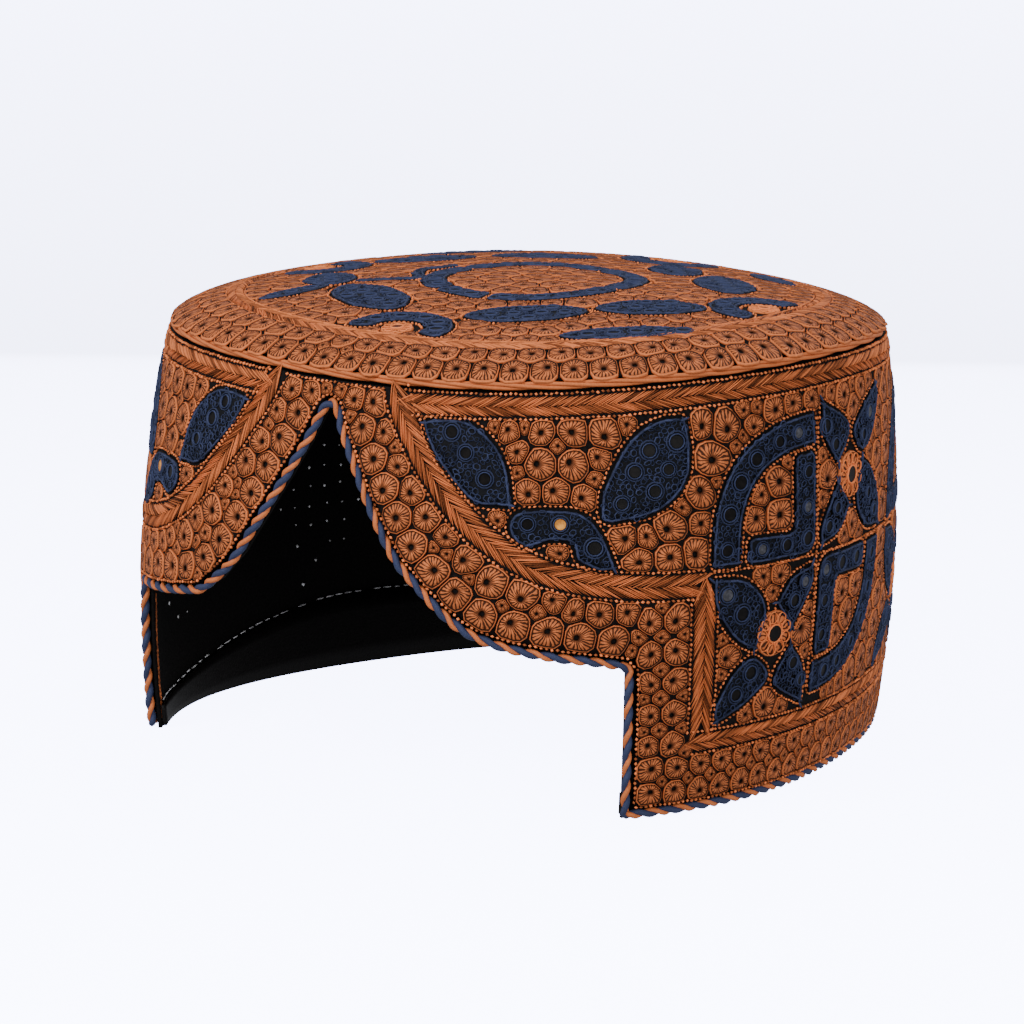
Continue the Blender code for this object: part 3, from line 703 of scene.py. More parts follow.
class Work:
    """A model with stitched copies of shapes, whose places are worked out together when it is laid."""

    def __init__(self):
        self.model = bmesh.new()
        self.model.loops.layers.uv.new("UVMap")
        self.model.faces.layers.float.new("tint")
        self.copies = []
        self.cells = None

    def stamp(self, shape, places, material=0):
        """Copies of a shape, one for each (matrix, tint)."""
        self.copies.append((len(self.model.verts), len(self.model.faces), shape, places, material))
        for _ in places:
            self.model.from_mesh(shape)

    def wheels(self, shape, wheels):
        """Wheels, each (middle, half width in every direction, height, hole's way off the middle, tint)."""
        self.cells = (shape, wheels)
        for _ in wheels:
            self.model.from_mesh(shape)

    def cell_places(self):
        """Flat places of all wheels' corners."""
        shape, wheels = self.cells
        corners = np.array([corner.co for corner in shape.vertices])
        share = np.hypot(corners[:, 0], corners[:, 1])
        angle = np.arctan2(corners[:, 1], corners[:, 0])
        side = np.round(angle / math.tau * WHEEL_SIDES).astype(int) % WHEEL_SIDES
        middles, edges = np.array([wheel[0] for wheel in wheels]), np.array([wheel[1] for wheel in wheels])
        heights, asides, tints = (np.array([wheel[index] for wheel in wheels]) for index in (2, 3, 4))
        reach = edges[:, side] * share
        offset = np.outer(asides * edges.min(axis=1), np.maximum(0.0, 1.0 - share / 0.8))
        x = middles[:, :1] + reach * np.cos(angle) + offset * np.cos(tints * 40.0)[:, None]
        y = middles[:, 1:] + reach * np.sin(angle) + offset * np.sin(tints * 40.0)[:, None]
        places = np.stack((x, y, np.outer(heights, corners[:, 2])), axis=2).reshape(-1, 3)
        return places, np.repeat(tints, len(shape.polygons))

    def mesh(self, name, chart):
        """The mesh of all copies, laid on the cap by a chart."""
        copies, corners_before, faces_before = self.copies, len(self.model.verts), len(self.model.faces)
        mesh = shape_mesh(name, self.model)
        flat = np.empty(corners_before * 3, np.float32)
        mesh.vertices.foreach_get("co", flat)
        flat = flat.reshape(-1, 3).astype(float)
        tints, slots = np.empty(faces_before, np.float32), np.zeros(faces_before, np.int32)
        mesh.attributes["tint"].data.foreach_get("value", tints)
        mesh.polygons.foreach_get("material_index", slots)
        for corner, face, shape, places, material in copies:
            if not places:
                continue
            matrices = np.array([matrix for matrix, _ in places])
            corners, faces, count = len(shape.vertices), len(shape.polygons), len(places)
            block = flat[corner:corner + count * corners].reshape(count, corners, 3)
            block = np.einsum("nij,nkj->nki", matrices[:, :3, :3], block) + matrices[:, None, :3, 3]
            flat[corner:corner + count * corners] = block.reshape(-1, 3)
            tints[face:face + count * faces] = np.repeat([tint for _, tint in places], faces)
            slots[face:face + count * faces] = material
        if self.cells:
            flat, tints = self.cell_places()
        mesh.vertices.foreach_set("co", chart(flat).astype(np.float32).ravel())
        mesh.attributes["tint"].data.foreach_set("value", tints)
        mesh.polygons.foreach_set("material_index", slots)
        mesh.update()
        return mesh


def lay(name, work, chart, materials, nodes=(), slot="orange_stitching"):
    """The finished piece: flat work laid on the cap by its chart."""
    return finished(name, work.mesh(name, chart), materials, nodes, slot)


def finished(name, mesh, materials, nodes=(), slot="orange_stitching"):
    for material in materials:
        mesh.materials.append(material)
    mesh.shade_smooth()
    if len(materials) > 2:
        for face in mesh.polygons:
            if face.material_index >= 2:
                face.use_smooth = False
    piece = bpy.data.objects.new(name, mesh)
    bpy.context.scene.collection.objects.link(piece)
    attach(piece, "root")
    if nodes:
        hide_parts(*nodes)
    return piece


# Rows of stitches

def dots(chance, path, pitch=1.25 * MM, width=0.42 * MM, height=0.40 * MM, out=0.25 * MM, closed=False):
    """A row of short stitches along a path."""
    places, turns = spaced(path, pitch, closed)
    row = []
    for (x, y), turn in zip(places, turns):
        length = pitch * chance.uniform(0.36, 0.46)
        size = (length, width * chance.uniform(0.75, 1.15), height)
        aside = chance.uniform(-0.12, 0.12) * MM
        row.append((place_at(x - aside * math.sin(turn), y + aside * math.cos(turn), out,
                             turn + chance.uniform(-0.35, 0.35), size), chance.uniform(0.1, 1.2)))
    return row


def herringbone(chance, path, width, pitch=0.88 * MM, angle=math.radians(25.0)):
    """Two rows of long slanting stitches that meet in the band's middle."""
    places, turns = spaced(path, pitch)
    half = width / 4.0 / math.sin(angle) * 1.1
    row = []
    for (x, y), turn in zip(places, turns):
        for side in (1.0, -1.0):
            away = side * width * chance.uniform(0.235, 0.26)
            lean = turn + side * (angle + chance.uniform(-0.06, 0.06))
            size = (half * chance.uniform(0.92, 1.14), 0.175 * MM, 0.34 * MM)
            place = place_at(x - away * math.sin(turn), y + away * math.cos(turn),
                             chance.uniform(0.30, 0.52) * MM, lean, size, tilt=-0.06)
            row.append((place, chance.uniform(0.0, 1.2)))
    return row


class Ground:
    """One flat chart's embroidery: what is sewn on it, and the room that is left for wheels."""

    def __init__(self, seed, girth=None):
        self.chance = random.Random(seed)
        self.girth = girth
        self.taken = []
        self.dots = []
        self.stitches = []
        self.wheels = []
        self.loops = []
        self.mirrors = []

    def take(self, places):
        """Keeps wheels off the places, on both sides of the chart's cut."""
        places = np.asarray(places)[:, :2]
        self.taken.append(places)
        if self.girth:
            cut, reach = SEAM_ANGLE * CROWN_RADIUS, 12.0 * MM
            for shift in (-self.girth, self.girth):
                moved = places + np.array((shift, 0.0))
                near = (moved[:, 0] > cut - self.girth - reach) & (moved[:, 0] < cut + reach)
                self.taken.append(moved[near])

    def dot_row(self, path, closed=False, **sizes):
        self.dots += dots(self.chance, path, closed=closed, **sizes)
        self.take(spaced(path, 0.7 * MM, closed)[0])

    def band(self, path, width):
        """A herringbone band with a row of dots on each side."""
        self.stitches += herringbone(self.chance, path, width)
        for share in (-0.36, -0.12, 0.12, 0.36):
            self.take(spaced(beside(path, share * width), 0.9 * MM)[0])
        for side in (-1.0, 1.0):
            self.dot_row(beside(path, side * (width / 2.0 + 0.75 * MM)))

    def fill(self, seeds, candidates, largest, smallest):
        """Wheels at the seeds that have room, then in the gaps, each grown to fill its cell.

        A seed is (x, y, half width).
        """
        room_near = tree_of(np.concatenate(self.taken))
        centres, reaches = [], []
        for x, y, half in seeds:
            free = room_near.find((x, y, 0.0))[2] - CELL_GAP
            if centres:
                away = np.hypot(np.array(centres)[:, 0] - x, np.array(centres)[:, 1] - y)
                free = min(free, (away - np.array(reaches)).min())
            if free > 0.62 * half:
                centres.append((x, y))
                reaches.append(min(half, free))
        free = np.array([room_near.find((x, y, 0.0))[2] - CELL_GAP for x, y in candidates])
        for (x, y), reach in zip(centres, reaches):
            free = np.minimum(free, np.hypot(candidates[:, 0] - x, candidates[:, 1] - y) - reach)
        while len(free):
            best = int(np.argmax(free))
            if free[best] < smallest:
                break
            x, y = candidates[best]
            reach = min(free[best], largest)
            centres.append((x, y))
            reaches.append(reach)
            free = np.minimum(free, np.hypot(candidates[:, 0] - x, candidates[:, 1] - y) - 1.12 * reach)
        self.grow(np.array(centres), np.array(reaches), room_near)

    def grow(self, centres, reaches, room_near):
        """Half width of every wheel in each direction, up to its neighbours and to what is sewn."""
        angles = np.arange(WHEEL_SIDES) * math.tau / WHEEL_SIDES
        ways = np.stack((np.cos(angles), np.sin(angles)), axis=1)
        near = tree_of(centres)
        for index, (centre, reach) in enumerate(zip(centres, reaches)):
            limit = np.full(WHEEL_SIDES, min(1.7 * reach, reach + 2.0 * MM))
            for _, other, away in near.find_range((*centre, 0.0), 12.0 * MM):
                if other != index and away > 0.0:
                    toward = (centres[other] - centre) / away
                    facing = ways @ toward
                    wall = away * reach / (reach + reaches[other]) - 0.10 * MM
                    limit = np.where(facing > 0.05, np.minimum(limit, wall / np.maximum(facing, 0.05)), limit)
            for side in range(WHEEL_SIDES):
                step = 0.75 * reach
                while step < limit[side]:
                    x, y = centre + ways[side] * step
                    if room_near.find((x, y, 0.0))[2] < CELL_GAP:
                        limit[side] = step
                    step += 0.25 * MM
            even = 0.5 * limit + 0.25 * (np.roll(limit, 1) + np.roll(limit, -1))
            limit = np.minimum(limit, even)
            height = min(0.75, 0.35 + 130.0 * reach) * MM
            self.wheels.append((centre, limit * self.chance.uniform(0.97, 1.0), height,
                                self.chance.uniform(0.0, 0.45), self.chance.random()))


def settings():
    return bpy.context.scene.sindhi_cap


def new_sheet(node, flat_of, chart, cuts, depth):
    """The outer skin of a CAD cloth wall, made finer, with the flat places of its corners for laying it back
    on the smooth form.
    """
    model = bmesh.new()
    model.from_mesh(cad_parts[node].data)
    bmesh.ops.remove_doubles(model, verts=model.verts, dist=1e-5)
    flat = flat_of(np.array([corner.co for corner in model.verts]))
    flat_out = {corner: flat[index, 2] for index, corner in enumerate(model.verts)}
    inner = [corner for corner, out in flat_out.items() if out < -depth]
    bmesh.ops.delete(model, geom=inner, context="VERTS")
    bmesh.ops.join_triangles(model, faces=model.faces, angle_face_threshold=0.7, angle_shape_threshold=3.1)
    bmesh.ops.subdivide_edges(model, edges=model.edges, cuts=cuts, use_grid_fill=True)
    flat = flat_of(np.array([corner.co for corner in model.verts]))
    return model, flat


class CapSettings(bpy.types.PropertyGroup):
    """Sizes and colours of the embroidery."""

    wheel: bpy.props.FloatProperty(
        name="Wheel", description="Half width of a full stitched wheel",
        default=3.8 * MM, unit="LENGTH", precision=5)
    thread_colour: bpy.props.FloatVectorProperty(
        name="Thread", description="Colour of the orange-brown thread",
        default=(0.56, 0.130, 0.026), subtype="COLOR")
    navy_colour: bpy.props.FloatVectorProperty(
        name="Navy", description="Colour of the navy thread",
        default=(0.0125, 0.0185, 0.047), subtype="COLOR")
    cloth_colour: bpy.props.FloatVectorProperty(
        name="Ground", description="Colour of the black ground cloth",
        default=(0.006, 0.005, 0.005), subtype="COLOR")
    loop: bpy.props.FloatProperty(
        name="Loop", description="Half width of a loop of navy thread",
        default=0.84 * MM, unit="LENGTH", precision=5)
    mirror: bpy.props.FloatProperty(
        name="Mirror", description="Half width of a small mirror",
        default=1.45 * MM, unit="LENGTH", precision=5)
    floor_colour: bpy.props.FloatVectorProperty(
        name="Floor", description="Colour of the pale floor",
        default=(0.58, 0.61, 0.90), subtype="COLOR")


class Kit:
    """Materials and repeated shapes, made once for all operators."""

    materials = {}
    shapes = {}

    @classmethod
    def material(cls, name):
        colours = settings()
        makers = {
            "wheel": lambda: wheel_material(colours.thread_colour),
            "thread": lambda: thread_material("stitch_thread", colours.thread_colour),
            "dot": lambda: thread_material("dot_thread", tone(colours.thread_colour, 1.25)),
            "cord": lambda: thread_material("cord_thread", tone(colours.thread_colour, 0.9)),
            "navy": lambda: thread_material("navy_thread", tone(colours.navy_colour, 1.8), 0.12),
            "navy_ground": lambda: thread_material("navy_ground", tone(colours.navy_colour, 0.18), 0.3),
            "ground": lambda: cloth_material("black_ground", colours.cloth_colour, 1500.0),
            "lining": lambda: cloth_material("lining_cloth", tone(colours.cloth_colour, 0.8), 1800.0, 0.9),
            "satin": lambda: cloth_material("satin_cloth", tone(colours.cloth_colour, 0.9), 2400.0, 0.45),
            "white": lambda: thread_material("white_thread", (0.75, 0.74, 0.72), 0.8),
            # Mirrors' base colours are painted reflections: dark for the dark surroundings, orange and grey
            # for painted glints.
            "mirror": lambda: mirror_material("dark_painted_reflection_mirror", (0.006, 0.005, 0.0045)),
            "painted_orange_glint": lambda: mirror_material("orange_painted_glint_mirror", (0.80, 0.30, 0.06)),
            "grey_painted_glint_mirror": lambda: mirror_material("grey_painted_glint_mirror", (0.075, 0.075, 0.085)),
        }
        if name not in cls.materials:
            cls.materials[name] = makers[name]()
        return cls.materials[name]

    @classmethod
    def shape(cls, maker):
        if maker not in cls.shapes:
            cls.shapes[maker] = maker()
        return cls.shapes[maker]


class CAP_OT_cloth(bpy.types.Operator):
    """Ground cloth of the wall and the crown, the lining and the satin band"""
    bl_idname = "cap.cloth"
    bl_label = "Cloth"

    def execute(self, context):
        inside_wall = WALL_THICKNESS + SEAM_GAP
        inside_lining = inside_wall + LINING_THICKNESS + SEAM_GAP
        rows = [
            ("side_wall", wall_flat, on_wall, WALL_THICKNESS, 0.0, "ground", "orange_stitching"),
            ("crown", crown_flat, on_crown, CROWN_THICKNESS, 0.0, "ground", "orange_stitching"),
            ("wall_lining", wall_flat, on_wall, LINING_THICKNESS, inside_wall, "lining", "black_lining"),
            ("sweatband", wall_flat, on_wall, LINING_THICKNESS, inside_lining, "satin", "black_satin"),
        ]
        for node, flat_of, chart, thickness, inwards, material, slot in rows:
            model, flat = new_sheet(node, flat_of, chart, 3, inwards + 0.9 * MM)
            flat[:, 2] = -inwards
            for corner, place in zip(model.verts, chart(flat)):
                corner.co = place
            bmesh.ops.recalc_face_normals(model, faces=model.faces)
            outward = sum(face.normal.dot(face.calc_center_median() - Vector((0.0, 0.0, 0.05)))
                          for face in model.faces)
            if outward < 0.0:
                bmesh.ops.reverse_faces(model, faces=model.faces)
            mesh = shape_mesh(node, model)
            piece = finished(f"{node}_cloth", mesh, [Kit.material(material)], (node,), slot)
            solid = piece.modifiers.new("thickness", "SOLIDIFY")
            solid.thickness = thickness
            solid.offset = -1.0
        return {"FINISHED"}


# Step along a strand, and the small way by which a chart's directions are found
STRAND_STEP = 0.75 * MM
NUDGE = 1e-4


def twisted(name, path, chart, strands, pitch, nodes, slot):
    """Strands laid round each other along a path that ends where it starts on the cap.

    A strand is (material, radius, phase, distance from the middle).
    """
    places, turns = spaced(path, STRAND_STEP)
    level = np.zeros(len(places))
    flat = np.column_stack((places, level))
    middle = chart(flat)
    across = chart(flat + NUDGE * np.column_stack((-np.sin(turns), np.cos(turns), level))) - middle
    across /= np.linalg.norm(across, axis=1)[:, None]
    out = chart(flat + np.array((0.0, 0.0, NUDGE))) - middle
    out /= np.linalg.norm(out, axis=1)[:, None]
    rounds = round(STRAND_STEP * len(places) / pitch)
    for index, (material, radius, phase, away) in enumerate(strands):
        angle = (np.arange(len(places)) / len(places) * rounds + phase) * math.tau
        line = middle + away * (np.cos(angle)[:, None] * across + np.sin(angle)[:, None] * out)
        curve = bpy.data.curves.new(name, "CURVE")
        curve.dimensions = "3D"
        curve.bevel_depth = radius
        curve.bevel_resolution = 1
        spline = curve.splines.new("POLY")
        spline.points.add(len(line) - 1)
        spline.use_cyclic_u = True
        for point, place in zip(spline.points, line):
            point.co = (*place, 1.0)
        guide = bpy.data.objects.new(name, curve)
        bpy.context.scene.collection.objects.link(guide)
        mesh = bpy.data.meshes.new_from_object(guide.evaluated_get(bpy.context.evaluated_depsgraph_get()))
        bpy.data.objects.remove(guide)
        tint = mesh.attributes.new("tint", "FLOAT", "FACE")
        tint.data.foreach_set("value", [0.8] * len(mesh.polygons))
        finished(f"{name}_strand_{index + 1}", mesh, [material], nodes if index == 0 else (), slot)


def edge_cord_path():
    """Flat path of the edge cord's middle: over the cut edge from right to left, then round the foot."""
    radius = EDGE_CORD / 2.0
    inner = beside(opening_path()[::-1], radius)
    inner = inner[inner[:, 1] > radius][::-1]
    right, left = inner[0, 0], inner[-1, 0]
    around = np.linspace(left, right - WALL_GIRTH, 400)[1:]
    foot = np.stack((around, np.full(len(around), radius)), axis=1)
    return np.vstack((inner, foot))


class CAP_OT_cords(bpy.types.Operator):
    """Plain brown cord round the rim, and the navy and brown cord round the cut edge and the foot"""
    bl_idname = "cap.cords"
    bl_label = "Cords"

    def execute(self, context):
        brown, navy = Kit.material("cord"), Kit.material("navy")
        angles = np.linspace(0.0, math.tau, 400, endpoint=False)
        radius = CROWN_RADIUS + wave("rim", angles) + RIM_CORD_PROUD - RIM_CORD / 2.0

        def rim(flat):
            angle = flat[:, 0] / CROWN_RADIUS
            reach = np.interp(angle, angles, radius, period=math.tau) + flat[:, 2]
            return np.stack((SHIFT.x + reach * np.sin(angle), SHIFT.y - reach * np.cos(angle),
                             rim_height(angle) + flat[:, 1]), axis=1)

        rim_path = np.array([(angle * CROWN_RADIUS, 0.0) for angle in np.linspace(0.0, math.tau, 400)])
        strands = [(brown, 0.52 * MM, phase, 0.56 * MM) for phase in (0.0, 1.0 / 3.0, 2.0 / 3.0)]
        twisted("rim_cord", rim_path, rim, strands, 44.0 * MM, ("rim_cord",), "brown_cord")

        def edge(flat):
            return on_wall(flat + np.array((0.0, 0.0, EDGE_CORD / 2.0 - WALL_THICKNESS)))

        twisted("edge_cord", edge_cord_path(), edge,
                [(navy, 0.84 * MM, 0.0, 0.46 * MM), (brown, 0.66 * MM, 0.5, 0.62 * MM)],
                7.4 * MM, ("edge_cord",), "two_colour_cord")
        return {"FINISHED"}


# Navy patches

def patch_outlines(node, flat_of):
    """Smooth flat outlines of a patch's outer face, taken from its solid."""
    model = bmesh.new()
    model.from_mesh(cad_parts[node].data)
    bmesh.ops.remove_doubles(model, verts=model.verts, dist=1e-5)
    flat = flat_of(np.array([corner.co for corner in model.verts]))
    for corner, place in zip(model.verts, flat):
        corner.co = place
    middle_out = (flat[:, 2].min() + flat[:, 2].max()) / 2.0
    inner = [corner for corner in model.verts if corner.co.z < middle_out]
    bmesh.ops.delete(model, geom=inner, context="VERTS")
    ahead = {}
    for edge in model.edges:
        if edge.is_boundary:
            for corner in edge.verts:
                ahead.setdefault(corner, []).append(edge.other_vert(corner))
    outlines = []
    while ahead:
        start = next(iter(ahead))
        loop, before, here = [start], None, start
        while True:
            following = [corner for corner in ahead[here] if corner is not before]
            before, here = here, following[0]
            if here is start:
                break
            loop.append(here)
        for corner in loop:
            del ahead[corner]
        outlines.append(smooth([corner.co.xy for corner in loop], closed=True, pitch=1.2 * MM))
    model.free()
    return outlines


def area(outline):
    x, y = outline.T
    return 0.5 * (np.dot(x, np.roll(y, -1)) - np.dot(y, np.roll(x, -1)))


def patch_nodes():
    return [name for name in sorted(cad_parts)
            if name.startswith(("lobe_", "medallion_", "crown_"))] + ["crown_bracket"]


def patch_chart(node):
    return (crown_flat, on_crown) if node.startswith("crown_") else (wall_flat, on_wall)


OUTLINES = {}


def outlines_of(node):
    if node not in OUTLINES:
        if node.startswith("medallion_"):
            OUTLINES[node] = panel_outlines(node)
        elif node.startswith("lobe_"):
            OUTLINES[node] = [smooth(lobe_place(node)(LOBE_PATCHES[node.split("_", 2)[2]]), closed=True)]
        elif node == "crown_bracket":
            middle = smooth(BRACKET, pitch=1.5) * MM
            OUTLINES[node] = [np.vstack([beside(middle, side * BRACKET_WIDTH * MM / 2.0)[::int(side)]
                                         for side in (1.0, -1.0)])]
        else:
            OUTLINES[node] = patch_outlines(node, patch_chart(node)[0])
    return OUTLINES[node]


def panel_place(node):
    """Function that lays mm from the middle of the node's panel on the chart, as its level and hand ask."""
    _, number, kind, level = node.split("_")
    x = math.radians(PANEL_MIDDLE[0] + PANEL_PITCH * (int(number) - 1)) * CROWN_RADIUS
    turned = -1.0 if level == ("lower" if kind == "frame" else "upper") else 1.0
    hand = 1.0 if int(number) < 4 else -1.0
    return lambda rows: np.array([(x + hand * turned * across * MM, (PANEL_MIDDLE[1] + turned * rise) * MM)
                                  for across, rise in rows])


def panel_outlines(node):
    """Flat outlines of a panel's arc and angle, or of the four petals round a hub."""
    place = panel_place(node)
    if "_frame_" in node:
        middle = smooth(FRAME_ARC, pitch=1.5)
        arc = np.vstack([beside(middle, side * FRAME_ARC_WIDTH / 2.0)[::int(side)] for side in (1.0, -1.0)])
        corners = np.array(FRAME_ANGLE)
        angle = np.vstack([corners[index] * (1.0 - share) + corners[(index + 1) % len(corners)] * share
                           for index in range(len(corners)) for share in (0.12, 0.5, 0.88)])
        return [place(arc), smooth(place(angle), closed=True)]
    return [smooth(place(petal), closed=True) for petal in PETALS]


def lobe_place(node):
    """Function that lays the right lobe's (azimuth, height) on the chart, mirrored for the left lobe."""
    hand = 1.0 if "_right_" in node else -1.0
    point = math.degrees(POINT_ANGLE)
    return lambda rows: np.array([(math.radians(point + hand * (azimuth - point)) * CROWN_RADIUS, height * MM)
                                  for azimuth, height in rows])


def listed_mirrors(node):
    """Flat middles of a patch's mirrors, from the lists for the right lobe and a panel."""
    if node.startswith("medallion_"):
        return panel_place(node)(PANEL_MIRRORS[node.split("_")[2]])
    if node.startswith("lobe_"):
        return lobe_place(node)(LOBE_MIRRORS[node.split("_", 2)[2]])
    return []


def mirror_places(node, chance):
    """Flat middles of a patch's mirrors: those listed, or spread over it."""
    outlines = outlines_of(node)
    listed = listed_mirrors(node)
    if len(listed):
        return [tuple(place) for place in listed]
    points = np.concatenate(outlines)
    cells = grid_over(points.min(axis=0), points.max(axis=0), 0.8 * MM, even=True)
    cells = cells[inside(outlines, cells)]
    edge = tree_of(points)
    away = np.array([edge.find((*cell, 0.0))[2] for cell in cells])
    chosen = []
    order = sorted(range(len(cells)), key=lambda index: -round(away[index] / MM, 1) + 0.3 * chance.random())
    for index in order:
        if away[index] > 1.7 * MM and all(math.dist(cells[index], other) > 5.4 * MM for other in chosen):
            chosen.append(cells[index])
    return [tuple(place) for place in chosen[:8]]


class CAP_OT_patches(bpy.types.Operator):
    """Navy patches of looped thread with small mirrors"""
    bl_idname = "cap.patches"
    bl_label = "Navy patches"

    def execute(self, context):
        for node in patch_nodes():
            self.patch(node)
        return {"FINISHED"}

    def patch(self, node):
        chance = random.Random(node)
        sizes = settings()
        outlines = outlines_of(node)
        work = self.pad(outlines)
        points = np.concatenate(outlines)
        mirrors = mirror_places(node, chance)
        low, high = points.min(axis=0), points.max(axis=0)
        pitch = 1.85 * sizes.loop
        cells = grid_over(low, high, pitch)
        cells += np.array([(chance.uniform(-0.3, 0.3), chance.uniform(-0.3, 0.3)) for _ in cells]) * pitch
        cells = cells[inside(outlines, cells)]
        edge = tree_of(points)
        loops, threads = [], []
        for x, y in cells:
            near = edge.find((x, y, 0.0))[2]
            clear = min([math.dist((x, y), mirror) for mirror in mirrors] or [1.0]) - 1.55 * sizes.mirror
            if near > 0.55 * sizes.loop and clear > 0.35 * sizes.loop:
                size = sizes.loop * chance.uniform(0.75, 1.15)
                turn = chance.uniform(0.0, math.tau)
                half = (size, size * chance.uniform(0.55, 0.95), 0.9 * size)
                place = place_at(x, y, 0.62 * MM, turn, half, roll=chance.uniform(0.0, 0.3))
                loops.append((place, chance.uniform(0.2, 1.3)))
        for outline in outlines:
            ways, turns = spaced(outline, 1.9 * MM, closed=True)
            inner = -0.42 * MM if area(outline) < 0.0 else 0.42 * MM
            for (x, y), turn in zip(ways, turns):
                place = place_at(x - inner * math.sin(turn), y + inner * math.cos(turn), 0.58 * MM,
                                 turn + chance.uniform(-0.1, 0.1), (1.35 * MM, 0.36 * MM, 0.42 * MM))
                threads.append((place, chance.uniform(0.3, 1.1)))
        work.stamp(Kit.shape(ring_shape), loops, 1)
        work.stamp(Kit.shape(stitch_shape), threads, 1)
        # Listed mirrors get a painted glint in their base colour, the rest a dark painted reflection.
        discs, rings, painted_glints = [], [], []
        for index, (x, y) in enumerate(mirrors):
            size = sizes.mirror * chance.uniform(0.85, 1.12)
            row = painted_glints if index in PAINTED_GLINT_MIRRORS.get(node.split("_", 2)[-1], ()) else discs
            row.append((place_at(x, y, 0.58 * MM, 0.0, (size, size, 0.2 * MM),
                                 tilt=chance.uniform(-0.05, 0.05)), 0.5))
            rings.append((place_at(x, y, 0.72 * MM, 0.3, (1.18 * size, 1.18 * size, 1.3 * MM)), 1.1))
            rings.append((place_at(x, y, 0.62 * MM, 0.8, (1.60 * size, 1.60 * size, 1.1 * MM)), 0.6))
        work.stamp(Kit.shape(disc_shape), discs, 2)
        work.stamp(Kit.shape(disc_shape), painted_glints, 3)
        work.stamp(Kit.shape(loop_shape), rings, 1)
        # The bar's glinting mirror takes an orange painted glint, the others a grey one.
        bright = "painted_orange_glint" if node.endswith("_bar") else "grey_painted_glint_mirror"
        materials = [Kit.material(name) for name in ("navy_ground", "navy", "mirror", bright)]
        nodes = (node,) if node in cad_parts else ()
        lay(f"stitched_{node}", work, patch_chart(node)[1], materials, nodes, "navy_stitching")

    def pad(self, outlines):
        """Low pad of navy cloth inside the outlines."""
        work = Work()
        model = work.model
        for outline in outlines:
            corners = [model.verts.new((x, y, 0.0)) for x, y in outline]
            for pair in zip(corners, corners[1:] + corners[:1]):
                model.edges.new(pair)
        bmesh.ops.triangle_fill(model, use_beauty=True, use_dissolve=False, edges=model.edges)
        for _ in range(3):
            wide = [edge for edge in model.edges if edge.calc_length() > 3.5 * MM and not edge.is_boundary]
            if wide:
                bmesh.ops.subdivide_edges(model, edges=wide, cuts=1)
                bmesh.ops.triangulate(model, faces=model.faces)
        bmesh.ops.recalc_face_normals(model, faces=model.faces)
        if sum(face.normal.z for face in model.faces) > 0.0:
            bmesh.ops.reverse_faces(model, faces=model.faces)
        raised = bmesh.ops.extrude_face_region(model, geom=model.faces[:])
        corners = [item for item in raised["geom"] if isinstance(item, bmesh.types.BMVert)]
        bmesh.ops.translate(model, verts=corners, vec=(0.0, 0.0, PAD_HEIGHT))
        bmesh.ops.recalc_face_normals(model, faces=model.faces)
        return work


def outline_rows(ground, nodes):
    """Rows of dots round patches, which their insides keep free of wheels."""
    for node in nodes:
        outlines = outlines_of(node)
        for outline in outlines:
            row = beside(outline, (-0.95 if area(outline) > 0.0 else 0.95) * MM, closed=True)
            if len(row) > 3:
                ground.dot_row(row, closed=True, pitch=1.2 * MM, width=0.34 * MM)
        points = np.concatenate(outlines)
        cells = grid_over(points.min(axis=0), points.max(axis=0), 1.3 * MM)
        cells = cells[inside(outlines, cells)]
        if len(cells):
            ground.take(cells)


